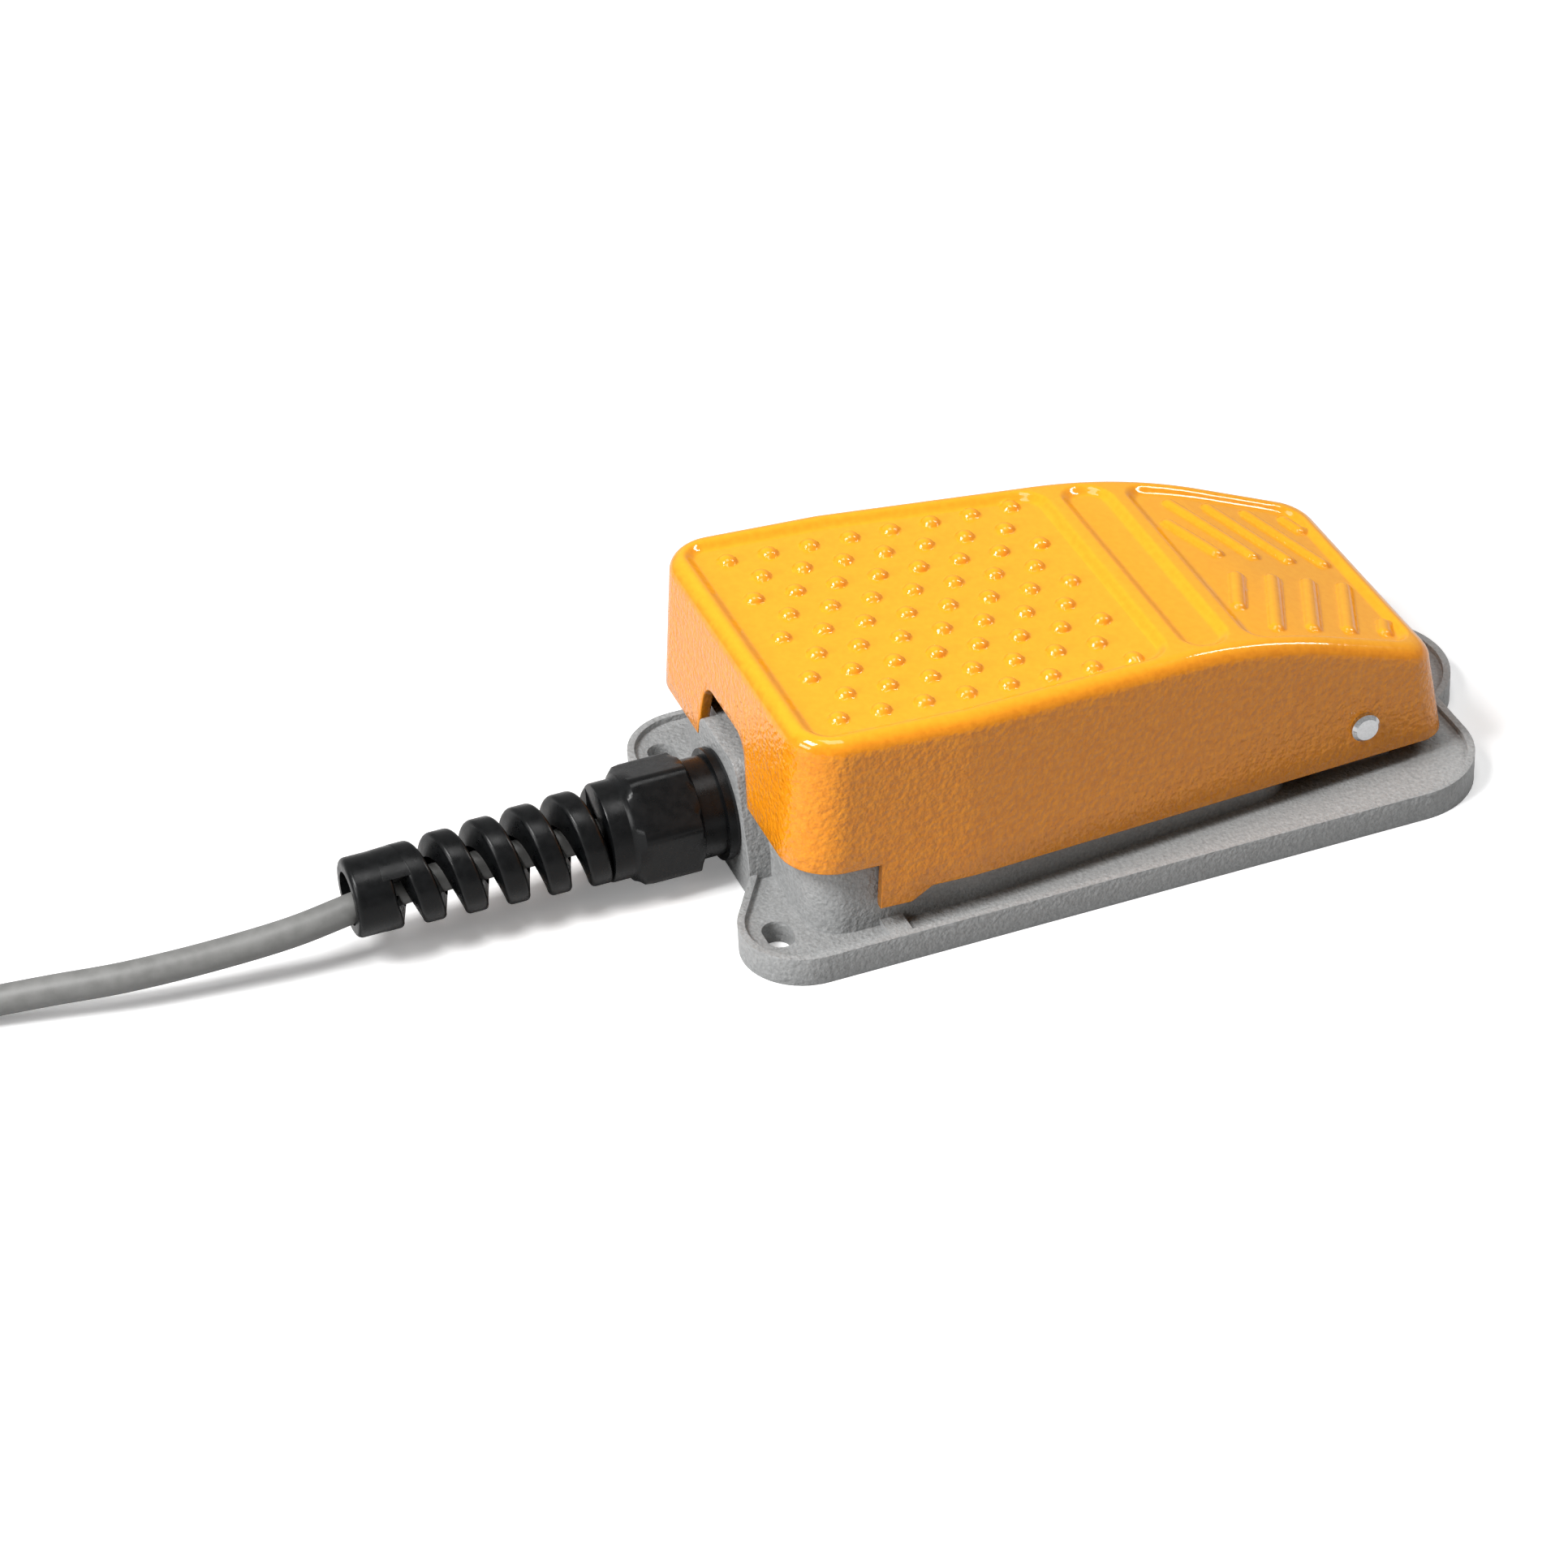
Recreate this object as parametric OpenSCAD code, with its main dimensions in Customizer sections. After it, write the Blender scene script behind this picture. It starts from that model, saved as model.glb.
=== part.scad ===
// Industrial foot switch used as a foot shutter release.
// Millimetres. +Z is up, +Y is the toe end where the cord leaves, and the
// origin is on the table under the middle of the base plate.

/* [Base plate] */
// Width of the base plate
base_w = 103.4; // [101:0.2:116]
// Length of the base plate, from the toe lobes to the heel ear
base_l = 191.6; // [190:0.2:210]
// Height of the raised rim above the table
rim_h = 7.2; // [6.8:0.1:8]
// Width of the raised rim
rim_w = 1.7; // [1:0.1:3]
// Depth of the plate's floor below the rim
rim_d = 1.5; // [0.8:0.1:2]
// Radius of the two toe lobes
toe_lobe_r = 14.9; // [13:0.1:16]
// Angle of the flanks between the lobes and the front face
flank_angle = 31; // [24:1:40]
// How far the front face lies behind the ends of the toe lobes
toe_recess = 9.5; // [8:0.1:11]
// Radius of the two heel corners
heel_corner_r = 20; // [14:0.5:24]
// Radius of the middle ear at the heel
ear_r = 21.4; // [18:0.2:24]
// How far the ear stands out behind the heel edge
ear_out = 10; // [8:0.2:12]

/* [Mounting holes] */
// Width of the two toe slots
slot_w = 6.5; // [4.5:0.1:7]
// Length of the two toe slots, end to end
slot_len = 9.7; // [8:0.1:12]
// Distance between the middles of the toe slots
slot_span = 75.6; // [72:0.2:78]
// Distance from the lobe ends to the middles of the toe slots
slot_in = 8.4; // [7.6:0.1:8.8]
// Diameter of the hole in the heel ear
ear_hole_d = 6.5; // [4.5:0.1:7]
// Distance from the end of the ear to the middle of its hole
ear_hole_in = 9; // [7:0.1:10]

/* [Switch box] */
// Gap between the pedal's lower edge and the box wall on each side
box_gap = 3.4; // [3.1:0.1:5]
// Thickness of the box wall
box_wall = 3; // [2:0.1:3.6]
// Height of the box wall above the table
box_h = 30; // [29.4:0.1:34]
// Radius of the box's front corners
box_r = 9.5; // [6:0.5:12]
// Height of the box's inner floor above the table
box_floor = 4.2; // [3.4:0.1:4.6]
// Distance from the front face of the base back to the box wall
boss_l = 5.2; // [4.6:0.1:6]
// Half of the width of the boss that carries the cord gland
boss_x = 17; // [15:0.1:17]
// Distance from the pedal pin forward to the box's rear wall
box_rear = 16; // [14:0.5:20]
// Depth of the shallow recess in the underside
under_d = 1.2; // [0.8:0.1:1.4]

/* [Pedal] */
// Width of the pedal at the toe, at its lower edge
pedal_w = 94.8; // [94.2:0.2:97]
// Height of the pedal's rim at its toe edge
pedal_h = 59; // [57:0.2:63]
// Distance from the pedal pin forward to the toe's top edge
pedal_reach = 139.3; // [139:0.1:141]
// Distance from the pedal pin back to the heel's top edge
pedal_tail = 20.2; // [18:0.1:21]
// Distance from the pedal pin forward to where the sides start to taper
taper_reach = 100; // [90:1:110]
// Taper of each side towards the heel, in degrees
side_taper = 5.47; // [5:0.01:5.6]
// Lean of the sides, in degrees
side_draft = 0.6; // [0:0.1:1]
// Lean of the toe face, in degrees
toe_draft = 4.6; // [3:0.1:5.5]
// Lean of the heel face, in degrees
heel_draft = 8.5; // [6:0.1:9.5]
// Tilt of the tread at rest, in degrees
tread_tilt = 3.43; // [3:0.01:3.8]
// Tilt of the sloping heel part at rest, in degrees
heel_tilt = 21.8; // [19:0.1:23]
// Distance from the pedal pin forward to the bend of the top
bend_reach = 27.1; // [25:0.1:30]
// Radius of that bend
bend_r = 130; // [90:1:150]
// Radius of the toe corners in plan
toe_r = 12; // [9:0.5:14]
// Radius of the heel corners in plan
heel_r = 8; // [6:0.5:10]
// Radius of the rounded top edge
edge_r = 4; // [2:0.2:5]
// Thickness of the pedal's skirt
skirt_t = 2.4; // [2:0.1:2.6]
// Thickness of the tread
tread_t = 3; // [2.4:0.1:4]
// Height of the skirt's lower edge above the table, over the pin
skirt_z = 10.6; // [10:0.1:11.6]
// Height of the toe skirt's lower edge above the table, at full travel
toe_skirt_z = 19.1; // [18:0.1:20]
// Width of the notch over the gland boss, at its crown
notch_w = 24.6; // [24:0.1:26]
// Height of the notch's crown above the table
notch_z = 40.8; // [40:0.1:44]
// Radius of the notch's upper corners
notch_r = 6; // [4:0.5:8]

/* [Tread pattern] */
// Width of the rim round the tread, on the top
tread_rim = 5.2; // [4:0.1:6.5]
// Depth of the tread panels below the rim
panel_d = 2; // [1.2:0.1:2.4]
// Corner radius of the tread panels
panel_r = 5; // [3:0.5:7]
// Distance between bumps in a row
bump_pitch = 10; // [9.6:0.1:10.2]
// Diameter of a bump
bump_d = 4.8; // [3.6:0.1:6]
// Height of a bump
bump_h = 1.6; // [0.8:0.1:1.8]
// Distance from the pedal pin forward to the first row of bumps
bump_reach = 125.9; // [125:0.1:126.4]
// Width of the two ridges across the pedal
ridge_w = 5.2; // [4:0.1:6]
// Distance from the pedal pin forward to the front ridge
ridge_reach = 45.5; // [44.5:0.1:46.5]
// Length of the plain band between the ridges
band_l = 10.6; // [8:0.1:12]
// Distance between the slanting ribs on the heel part
rib_pitch = 9.2; // [8:0.1:9.6]
// Distance from the pedal pin forward to the inner end of the first rib
rib_reach = 16.8; // [16:0.1:17.6]
// Slant of the ribs, in degrees
rib_slant = 23.7; // [20:0.1:26]
// Distance from the middle of the pedal to the inner ends of the ribs
rib_in = 5.5; // [4.4:0.1:6.4]
// Margin between the outer ends of the ribs and the panel's edge
rib_margin = 4.4; // [3.6:0.1:5]
// Diameter of the rods that form the ribs
rib_d = 4.4; // [3:0.1:5]
// How far the ribs stand out
rib_h = 1.2; // [0.8:0.1:1.6]

/* [Pivot and travel] */
// Diameter of the pedal pin
pin_d = 7; // [6:0.1:8]
// How far the pin stands out at each side
pin_out = 2; // [1:0.1:3]
// Height of the pin above the table
pin_z = 20.1; // [19:0.1:21]
// Distance from the heel end of the base forward to the pin
pin_in = 39.6; // [38.6:0.1:40.6]
// Travel of the pedal, in degrees
press_angle = 2.4; // [2:0.05:2.5]
// Gap left under the stop tabs at full travel
stop_gap = 0.3; // [0.2:0.05:0.8]
// Length of the stop tabs
stop_l = 7.4; // [5:0.1:9]
// Length of the blocks under them
block_l = 5.4; // [4:0.1:6.4]
// Distance from the pin forward to the front of the stop tabs
stop_reach = 122.3; // [121:0.1:123.4]
// Running clearance of the pin in its bushes
run_fit = 0.05; // [0.02:0.01:0.1]
// Outer diameter of the bushes
bush_d = 10; // [9.4:0.1:11]
// Thickness of the bushes' flanges
bush_flange_t = 0.8; // [0.5:0.1:1.2]
// Thickness of the two lugs that carry the pin
lug_t = 6; // [4:0.1:8]
// Free gap between pieces that move past each other
free_gap = 0.5; // [0.4:0.05:0.7]

/* [Return springs] */
// Outer diameter of the springs
spring_d = 15; // [13:0.5:18]
// Diameter of the spring wire
spring_wire = 1.8; // [1.2:0.1:2]
// Number of turns
spring_turns = 7; // [6:1:8]
// Distance between the two springs
spring_span = 46; // [44:1:52]
// Distance from the pin forward to the springs
spring_reach = 106; // [102:1:112]

/* [Snap switch] */
// Length of the switch case
case_l = 27.8; // [27:0.1:30]
// Thickness of the switch case
case_t = 10.3; // [9.8:0.1:12]
// Height of the switch case
case_h = 15.9; // [15.5:0.1:17]
// Height of the case's underside above the table
case_z = 13; // [12.6:0.1:14]
// Wall of the switch case
case_wall = 1.6; // [1.2:0.1:1.9]
// Distance between the case's fixing holes
fix_span = 22.2; // [21.8:0.1:22.6]
// Diameter of the case's fixing screws
fix_d = 3; // [2.4:0.1:3.1]
// Distance from the pin forward to the lever's roller
roller_reach = 66.2; // [64:0.1:70]
// Length of the lever, from its hinge to its roller
lever_l = 23; // [22:0.1:24.5]
// Distance from the lever's hinge forward to the middle of the case
hinge_in = 11.5; // [11:0.1:12]
// Distance from the lever's hinge forward to the plunger
plunger_reach = 8.9; // [8:0.1:10]
// Width of the lever
lever_w = 5; // [4:0.1:5.4]
// Thickness of the lever's sheet
lever_t = 0.8; // [0.5:0.1:1]
// Diameter of the roller
roller_d = 5; // [4:0.1:6]
// Diameter of the pins of lever and roller
lever_pin_d = 1.6; // [1.2:0.1:1.8]
// Thickness of the bracket's sheet
bracket_t = 1.5; // [1:0.1:2]
// Diameter of the adjusting screw in the pedal
pusher_d = 5; // [4:0.1:6]

/* [Cord gland] */
// Height of the gland's axis above the table
gland_z = 16.8; // [16.6:0.1:17.4]
// Diameter of the gland's thread
thread_d = 20; // [18:0.1:20.4]
// Diameter of the gland's flange
flange_d = 26.2; // [24:0.1:28]
// Thickness of the gland's flange
flange_t = 1.8; // [1.2:0.1:3]
// Thickness of the seal under the flange
seal_t = 0.8; // [0.5:0.1:1.2]
// Length of the neck between flange and nut
neck_l = 5.5; // [3:0.1:8]
// Width across the flats of the nut
nut_af = 25.2; // [24.4:0.1:26]
// Length of the nut's six-sided part
nut_l = 16; // [14:0.5:20]
// Outer diameter of the spiral at the nut
spiral_d0 = 23; // [22:0.1:24]
// Outer diameter of the spiral at its end ring
spiral_d1 = 18.4; // [17:0.1:20]
// Distance between the turns of the spiral
spiral_pitch = 9.7; // [9:0.1:10.4]
// Width of the spiral's band along the cord
spiral_band = 5; // [4:0.1:5.4]
// Bore of the spiral at its end ring
spiral_bore = 12.4; // [12.2:0.1:13]
// Number of turns of the spiral
spiral_turns = 5.35; // [4:0.05:6]
// Length of the end ring
ring_l = 9.3; // [8:0.1:12]

/* [Cord] */
// Diameter of the cord
cord_d = 7; // [6.6:0.1:7]
// Middle radius of the coil
coil_r = 40; // [40:1:42]
// Diameter of the two cores inside the cord
core_d = 2; // [1.6:0.1:2.4]
// Diameter of the plug's grip
grip_d = 9; // [8:0.1:10]
// Diameter of the plug's pin
jack_d = 3.5; // [2.5:1:3.5]
// Length of the plug's pin
jack_l = 14; // [12:0.5:16]

/* [Hidden] */
$fn = 64;
// Small overlap that joins shapes and carries cuts past a face
lap = 1;
// Reach of cuts that pass right through
far = 300;

// Places on the base
toe_y = base_l / 2;
heel_y = -base_l / 2;
front_y = toe_y - toe_recess;
heel_edge_y = heel_y + ear_out;
plate_z = rim_h - rim_d;
lobe_x = base_w / 2 - toe_lobe_r;
lobe_y = toe_y - toe_lobe_r;
corner_x = base_w / 2 - heel_corner_r;
corner_y = heel_edge_y + heel_corner_r;
wall_y = front_y - boss_l;
pin_y = heel_y + pin_in;
rear_y = pin_y + box_rear;

// Outer width of the box wall at the toe
box_w = pedal_w - 2 * box_gap;

// Places on the pedal
ptoe_y = pin_y + pedal_reach;
pheel_y = pin_y - pedal_tail;
taper_y = pin_y + taper_reach;
bend_y = pin_y + bend_reach;
bend_z = pedal_h - (ptoe_y - bend_y) * tan(tread_tilt);
bend_half = bend_r * tan((heel_tilt - tread_tilt) / 2);
bend_front_y = bend_y + bend_half * cos(tread_tilt);
bend_rear_y = bend_y - bend_half * cos(heel_tilt);
bend_cy = bend_front_y + bend_r * sin(tread_tilt);
bend_cz = bend_z + bend_half * sin(tread_tilt) - bend_r * cos(tread_tilt);
// Height of the table plane at which the hollow forms of the pedal end
form_z = 5;
// Length of the ramp behind the stop tabs
stop_ramp = 4.8;
stop_y = pin_y + stop_reach;
// Length of the bosses that hold the pin in the skirt
pin_boss_l = 2.2;
pin_boss_d = 13;

// Places on the tread
ridge_y = pin_y + ridge_reach;
ridge_rear_y = ridge_y - band_l - ridge_w;
bump_y = pin_y + bump_reach;
bump_rows = 9;
bump_count = 8;
rib_y = pin_y + rib_reach;

// Small clearance of pieces that are pressed or screwed together
snug = 0.02;
// Gap left between pieces that press on each other
touch_gap = 0.3;

// Snap switch: the lever is level at full travel and raised at rest
roller_y = pin_y + roller_reach;
hinge_y = roller_y - lever_l;
case_y = hinge_y + hinge_in;
case_top = case_z + case_h;
cover_t = 1.2;
lever_angle = press_angle * roller_reach / lever_l;
lever_eye_r = lever_pin_d / 2 + lever_t;
hinge_z = case_top + touch_gap + lever_eye_r;
roller_z = hinge_z + touch_gap + roller_d / 2;
roller_w = lever_w - 2 * lever_t - 2 * touch_gap;
ear_t = 1.1;
ear_x = lever_w / 2 + touch_gap;
// Height of the roller's middle at rest
roller_rest_z = hinge_z + lever_l * sin(lever_angle) + (roller_z - hinge_z) * cos(lever_angle);

// Adjusting screw in the pedal, over the roller
pusher_z = roller_rest_z + roller_d / 2 + touch_gap;
pusher_top_z = rim_z(roller_y) - panel_d - tread_t;
pusher_boss_d = 12;
// The locknut and the screw's bare tip share the room under the tread
pusher_room = pusher_top_z - pusher_z;
locknut_share = 0.28;
boss_share = 0.54;
pusher_boss_z = pusher_z + boss_share * pusher_room;
locknut_t = locknut_share * pusher_room;
locknut_af = 1.6 * pusher_d;

// Plunger and contacts in the case
plunger_d = 3;
plunger_y = hinge_y + plunger_reach;
plunger_top = hinge_z + plunger_reach * tan(lever_angle) - lever_t / cos(lever_angle) - touch_gap;
blade_t = 0.4;
blade_y = case_y - 7;
blade_z = case_z + 8.6;
blade_l = 12.5;
blade_angle = 10;
tab_t = 0.8;
tab_w = 4.8;
tab_z = 7.2;
rivet_d = 2.4;
rivet_h = 0.6;
rivet_y = blade_y + blade_l;
open_y = case_y + 0.5;
closed_y = rivet_y + rivet_d / 2 + touch_gap + tab_t / 2;
pocket_l = 17.2;
pocket_z = case_z + 2.4;
pocket_h = 11.5;
pocket_top = pocket_z + pocket_h;
closed_z = blade_z + blade_t / 2 + rivet_h + touch_gap;
open_z = blade_z - blade_t / 2 - rivet_h - (blade_l + rivet_d / 2) * sin(blade_angle) - touch_gap;
hinge_roll_r = 1;
hinge_roll_w = 2.8;
hinge_rod_d = 0.8;

// Switch bracket and its screws
bracket_z = 8.2;
bracket_x = case_t / 2;
bracket_foot = 17;
bracket_screw_d = 4;
bracket_screw_x = 15;
bracket_screw_span = 18;
bracket_post_d = 9;
screw_head_d = 7;
screw_head_h = 2.6;
fix_head_d = 5.5;
fix_head_h = 2;
fix_nut_t = 2.4;
fix_in = 2.9;
fix_low_z = case_z + fix_in;
fix_high_z = case_top - fix_in;

// Return springs: seats and guide posts
spring_y = pin_y + spring_reach;
spring_x = spring_span / 2;
cup_wall = 2.5;
cup_d = 2.5;
cup_fit = 0.6;
cup_roof = 1.2;
seat_z = rim_z(spring_y) - panel_d - tread_t - cup_roof;
post_h = 14;
post_fit = 0.7;

// Earth screw on its boss, behind one of the springs
earth_x = 28;
earth_in = 17;
earth_y = spring_y - earth_in;
earth_z = 9;
earth_screw_d = 4;
earth_boss_d = 9;

// Pivot: outer faces of the lugs
lug_x = side_x(pin_y) - skirt_t - pin_boss_l - free_gap - bush_flange_t;
lug_r = 8;

// Recess in the underside and the pads in it
under_margin_x = 9.7;
under_margin_y = 25.8;
under_x = base_w / 2 - under_margin_x;
under_y = base_l / 2 - under_margin_y;
pad_d = 14;
pad_in = 10;
pad_x = under_x - pad_in;
pad_y = under_y - pad_in;

// Cord gland, from the base's front face outwards
gland_fit = 0.2;
flange_y = front_y + seal_t;
neck_y = flange_y + flange_t;
nut_y = neck_y + neck_l;
shoulder_y = nut_y + nut_l;
shoulder_l = 3;
spiral_y = shoulder_y + shoulder_l;
ring_y = spiral_y + spiral_turns * spiral_pitch;
locknut_y = wall_y - box_wall;
gland_nut_t = 5;
thread_over = 3;
tail_y = locknut_y - gland_nut_t - thread_over;
thread_l = 9.6;
neck_d = 23.2;
nut_turn = 18;
inner_nut_af = thread_d + 4;
spiral_phase = -45;
// Turn over which the spiral's slot is closed before the end ring
slot_end = 120;
bore_near = cord_d + 2.2;
seal_r = 8.2;
seal_l = 12;

// Cord: the jacket ends inside the box, and the coil lies beyond the toe
jacket_in = 19.1;
jacket_y = wall_y - jacket_in;
cord_sides = 12;
core_sides = 8;
cord_route = [
    [0, jacket_y, gland_z], [0, 90, gland_z], [0, 112, gland_z], [0, 135, 16.75], [-0.1, 150, 16.5],
    [-0.4, 163, 15.8], [-0.9, 175, 14.5], [-0.7, 189, 12.2], [1.5, 207.5, 9.8], [4.2, 225.8, 8.2],
    [7.9, 241.4, 7], [11.5, 257, 5.6], [14, 272, 4.6], [15.3, 288, 4.2], [15.5, 302, 4.3],
];
wire_x = -tab_w / 2 - snug;
wire_z = 9;
// The cores leave the jacket side by side
core_x = 1.2;
core_start = jacket_y - touch_gap;
core_run = jacket_y - 3;
open_route = [
    [core_x, core_start, gland_z], [core_x, core_run, gland_z], [1, wire_y(open_y, 0.87), 13],
    [-3, wire_y(open_y, 0.65), 8], [-8, wire_y(open_y, 0.33), 6.5], [-9, wire_y(open_y, 0.14), 6.5],
    [-8.5, wire_y(open_y, 0.05), 7.5], [-6, open_y, wire_z], [wire_x, open_y, wire_z],
];
common_route = [
    [-core_x, core_start, gland_z], [-core_x, core_run, gland_z], [-4, wire_y(blade_y, 0.89), 12.5],
    [-9, wire_y(blade_y, 0.69), 6.4], [-13, wire_y(blade_y, 0.46), 6.4], [-13, wire_y(blade_y, 0.18), 6.4],
    [-12, wire_y(blade_y, 0.05), 7.5], [-7, blade_y, wire_z], [wire_x, blade_y, wire_z],
];
tail_route = [
    [25, 329, 13], [33, 339.5, 14.6], [43, 345.6, 16.6], [54, 346.4, 18], [66, 346, 18.6], [78, 345.6, 18.9],
    [89, 342, 19.2], [98, 334, 19.4], [102.8, 326, 19.5], [104, 319, 19.5], [104, 316, 19.5],
];
coil_x = 66;
coil_y = 306;
tie_t = 0.8;
tie_w = 6;

// Plug on the end of the cord
relief_l = 8;
grip_l = 22;
jack_z = relief_l + grip_l;
tip_l = 4.4;
jack_ring_l = 2.2;
collar_l = 0.6;
sleeve_l = jack_l - tip_l - jack_ring_l - 2 * collar_l;
jack_tube_d = 2;
jack_rod_d = 1.2;

// Height of the pedal's rim over a place along its length
function rim_z(y) =
    y > bend_front_y ? bend_z + (y - bend_y) * tan(tread_tilt)
    : y < bend_rear_y ? bend_z + (y - bend_y) * tan(heel_tilt)
    : bend_cz + sqrt(bend_r * bend_r - (y - bend_cy) * (y - bend_cy));
// Half of the pedal's width, at the lower edge and at a height
function side_x(y) = pedal_w / 2 - max(0, taper_y - y) * tan(side_taper);
function side_x_at(y, z) = side_x(y) - (z - skirt_z) * tan(side_draft);
// Half of the tread panels' width
function panel_x(y) = side_x_at(y, rim_z(y)) - tread_rim;
// Half of the switch box's outer width
function box_x(y) = box_w / 2 - max(0, taper_y - y) * tan(side_taper);

// A place between a terminal and the end of the cord's jacket, as a share of the way
function wire_y(terminal_y, share) = terminal_y + share * (jacket_y - terminal_y);

function unit(v) = v / norm(v);
// Points of a polygon with every corner rounded to one radius
function rounded(p, r, steps = 8) = [
    for (i = [0 : len(p) - 1])
        let (
            c = p[i],
            a = unit(p[(i + len(p) - 1) % len(p)] - c),
            b = unit(p[(i + 1) % len(p)] - c),
            half = acos(a * b) / 2,
            m = c + unit(a + b) * r / sin(half),
            s = c + a * r / tan(half) - m,
            e = c + b * r / tan(half) - m,
            turn = atan2(s[0] * e[1] - s[1] * e[0], s * e)
        )
        for (k = [0 : steps])
            let (t = turn * k / steps)
            m + [s[0] * cos(t) - s[1] * sin(t), s[0] * sin(t) + s[1] * cos(t)]
];

// Skin over rings of points, each ring with the same number of sides, and its two caps
module skin(points, sides, first_cap, last_cap) {
    rings = len(points) / sides;
    walls = [
        for (i = [0 : rings - 2], k = [0 : sides - 1])
            let (
                a = i * sides + k,
                b = i * sides + (k + 1) % sides,
                c = b + sides,
                d = a + sides
            )
            each [[a, b, c], [a, c, d]]
    ];
    polyhedron(points, concat(first_cap, walls, last_cap));
}

// Skin with flat ends
module sweep(points, sides) {
    last = len(points) - sides;
    skin(points, sides, [[for (k = [sides - 1 : -1 : 0]) k]], [[for (k = [0 : sides - 1]) last + k]]);
}

// Round tube along a route, whose course never runs along ref
module tube(route, r, sides, ref) {
    last = len(route) - 1;
    sweep([
        for (i = [0 : last])
            let (
                t = unit(route[min(i + 1, last)] - route[max(i - 1, 0)]),
                u = unit(cross(t, ref)),
                v = cross(u, t)
            )
            for (k = [0 : sides - 1])
                route[i] + r * (cos(360 * k / sides) * u + sin(360 * k / sides) * v)
    ], sides);
}

// Turns children that stand along +Z to lie along +Y on the gland's axis
module on_gland(y) {
    translate([0, y, gland_z])
        rotate([-90, 0, 0])
            children();
}

// Turns children that stand along +Z to lie along +X
module along_x(x, y, z) {
    translate([x, y, z])
        rotate([0, 90, 0])
            children();
}

// A shape drawn in Y and Z, made w wide about the middle plane
module side_shape(w) {
    rotate([90, 0, 90])
        translate([0, 0, -w / 2])
            linear_extrude(w)
                children();
}

// Outline of the base plate, drawn in by an inset
module base_outline(inset) {
    lobe_r = toe_lobe_r - inset;
    normal = [sin(flank_angle), cos(flank_angle)];
    touch = [-lobe_x, lobe_y] + lobe_r * normal;
    end_x = touch[0] + (touch[1] - front_y + inset) / tan(flank_angle);
    half = base_w / 2 - inset;
    polygon([
        [-half, corner_y], [-half, lobe_y], [-lobe_x, lobe_y], touch, [end_x, front_y - inset],
        [-end_x, front_y - inset], [-touch[0], touch[1]], [lobe_x, lobe_y], [half, lobe_y],
        [half, corner_y], [corner_x, corner_y], [corner_x, heel_edge_y + inset],
        [-corner_x, heel_edge_y + inset], [-corner_x, corner_y],
    ]);
    for (s = [-1, 1]) {
        translate([s * lobe_x, lobe_y])
            circle(lobe_r);
        translate([s * corner_x, corner_y])
            circle(heel_corner_r - inset);
    }
    translate([0, heel_y + ear_r])
        circle(ear_r - inset);
}

// Outline of the switch box, drawn in by an inset
module box_outline(inset) {
    front = wall_y - inset;
    rear = rear_y + inset;
    polygon(rounded([
        [-box_x(rear) + inset, rear], [-box_x(taper_y) + inset, taper_y], [-box_x(front) + inset, front],
        [box_x(front) - inset, front], [box_x(taper_y) - inset, taper_y], [box_x(rear) - inset, rear],
    ], box_r - inset));
}

// Right half of the pedal's outline in plan from toe to heel, drawn in by an inset:
// along the foot of the form, or along its top
function half_outline(inset, foot) =
    let (
        steps = 6,
        bends = 5,
        toe = ptoe_y + (foot ? (pedal_h - form_z) * tan(toe_draft) : 0),
        heel = pheel_y - (foot ? (rim_z(pheel_y) - form_z) * tan(heel_draft) : 0),
        toe_cy = toe - toe_r,
        heel_cy = heel + heel_r,
        heel_cx = form_x(heel_cy, foot) - heel_r / cos(side_taper)
    )
    [
        for (k = [0 : steps])
            let (a = 90 - 90 * k / steps)
            [form_x(toe_cy, foot) - toe_r + (toe_r - inset) * cos(a), toe_cy + (toe_r - inset) * sin(a)],
        [form_x(taper_y, foot) - inset, taper_y],
        for (k = [0 : bends])
            let (y = bend_front_y + (bend_rear_y - bend_front_y) * k / bends)
            [form_x(y, foot) - inset / cos(side_taper), y],
        for (k = [0 : steps])
            let (a = -side_taper - (90 - side_taper) * k / steps)
            [heel_cx + (heel_r - inset) * cos(a), heel_cy + (heel_r - inset) * sin(a)],
    ];
function form_x(y, foot) = side_x_at(y, foot ? form_z : rim_z(y));
// A closed ring of points from a half outline, with a height for each point
function whole_ring(half, heights) =
    let (last = len(half) - 1)
    [
        for (i = [0 : last]) [half[i][0], half[i][1], heights[i]],
        for (i = [last : -1 : 0]) [-half[i][0], half[i][1], heights[i]],
    ];

// The pedal's outer or inner form: a loft from its foot up to its top, whose edge is
// rounded in a number of steps
module pedal_form(inset, drop, steps) {
    round_r = steps == 0 ? 0 : edge_r;
    foot = half_outline(inset, true);
    sides = 2 * len(foot);
    rings = [
        whole_ring(foot, [for (q = foot) form_z]),
        for (k = [0 : steps])
            let (
                a = steps == 0 ? 90 : 90 * k / steps,
                half = half_outline(inset + round_r * (1 - cos(a)), false)
            )
            whole_ring(half, [for (q = half) rim_z(q[1]) - drop - round_r * (1 - sin(a))]),
    ];
    top = (len(rings) - 1) * sides;
    skin([for (ring = rings) each ring], sides,
        [for (j = [0 : sides / 2 - 2]) [sides - 1 - j, sides - 2 - j, j + 1, j]],
        [for (j = [0 : sides / 2 - 2]) [top + j, top + j + 1, top + sides - 2 - j, top + sides - 1 - j]]);
}

// Everything above the pedal's top surface, lowered by a depth
module above_top(depth) {
    steps = 10;
    side_shape(pedal_w)
        polygon(concat(
            [[heel_y, far], [heel_y, rim_z(heel_y) - depth]],
            [for (k = [0 : steps])
                let (y = bend_rear_y + (bend_front_y - bend_rear_y) * k / steps)
                [y, rim_z(y) - depth]],
            [[toe_y, rim_z(toe_y) - depth], [toe_y, far]]
        ));
}

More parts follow.
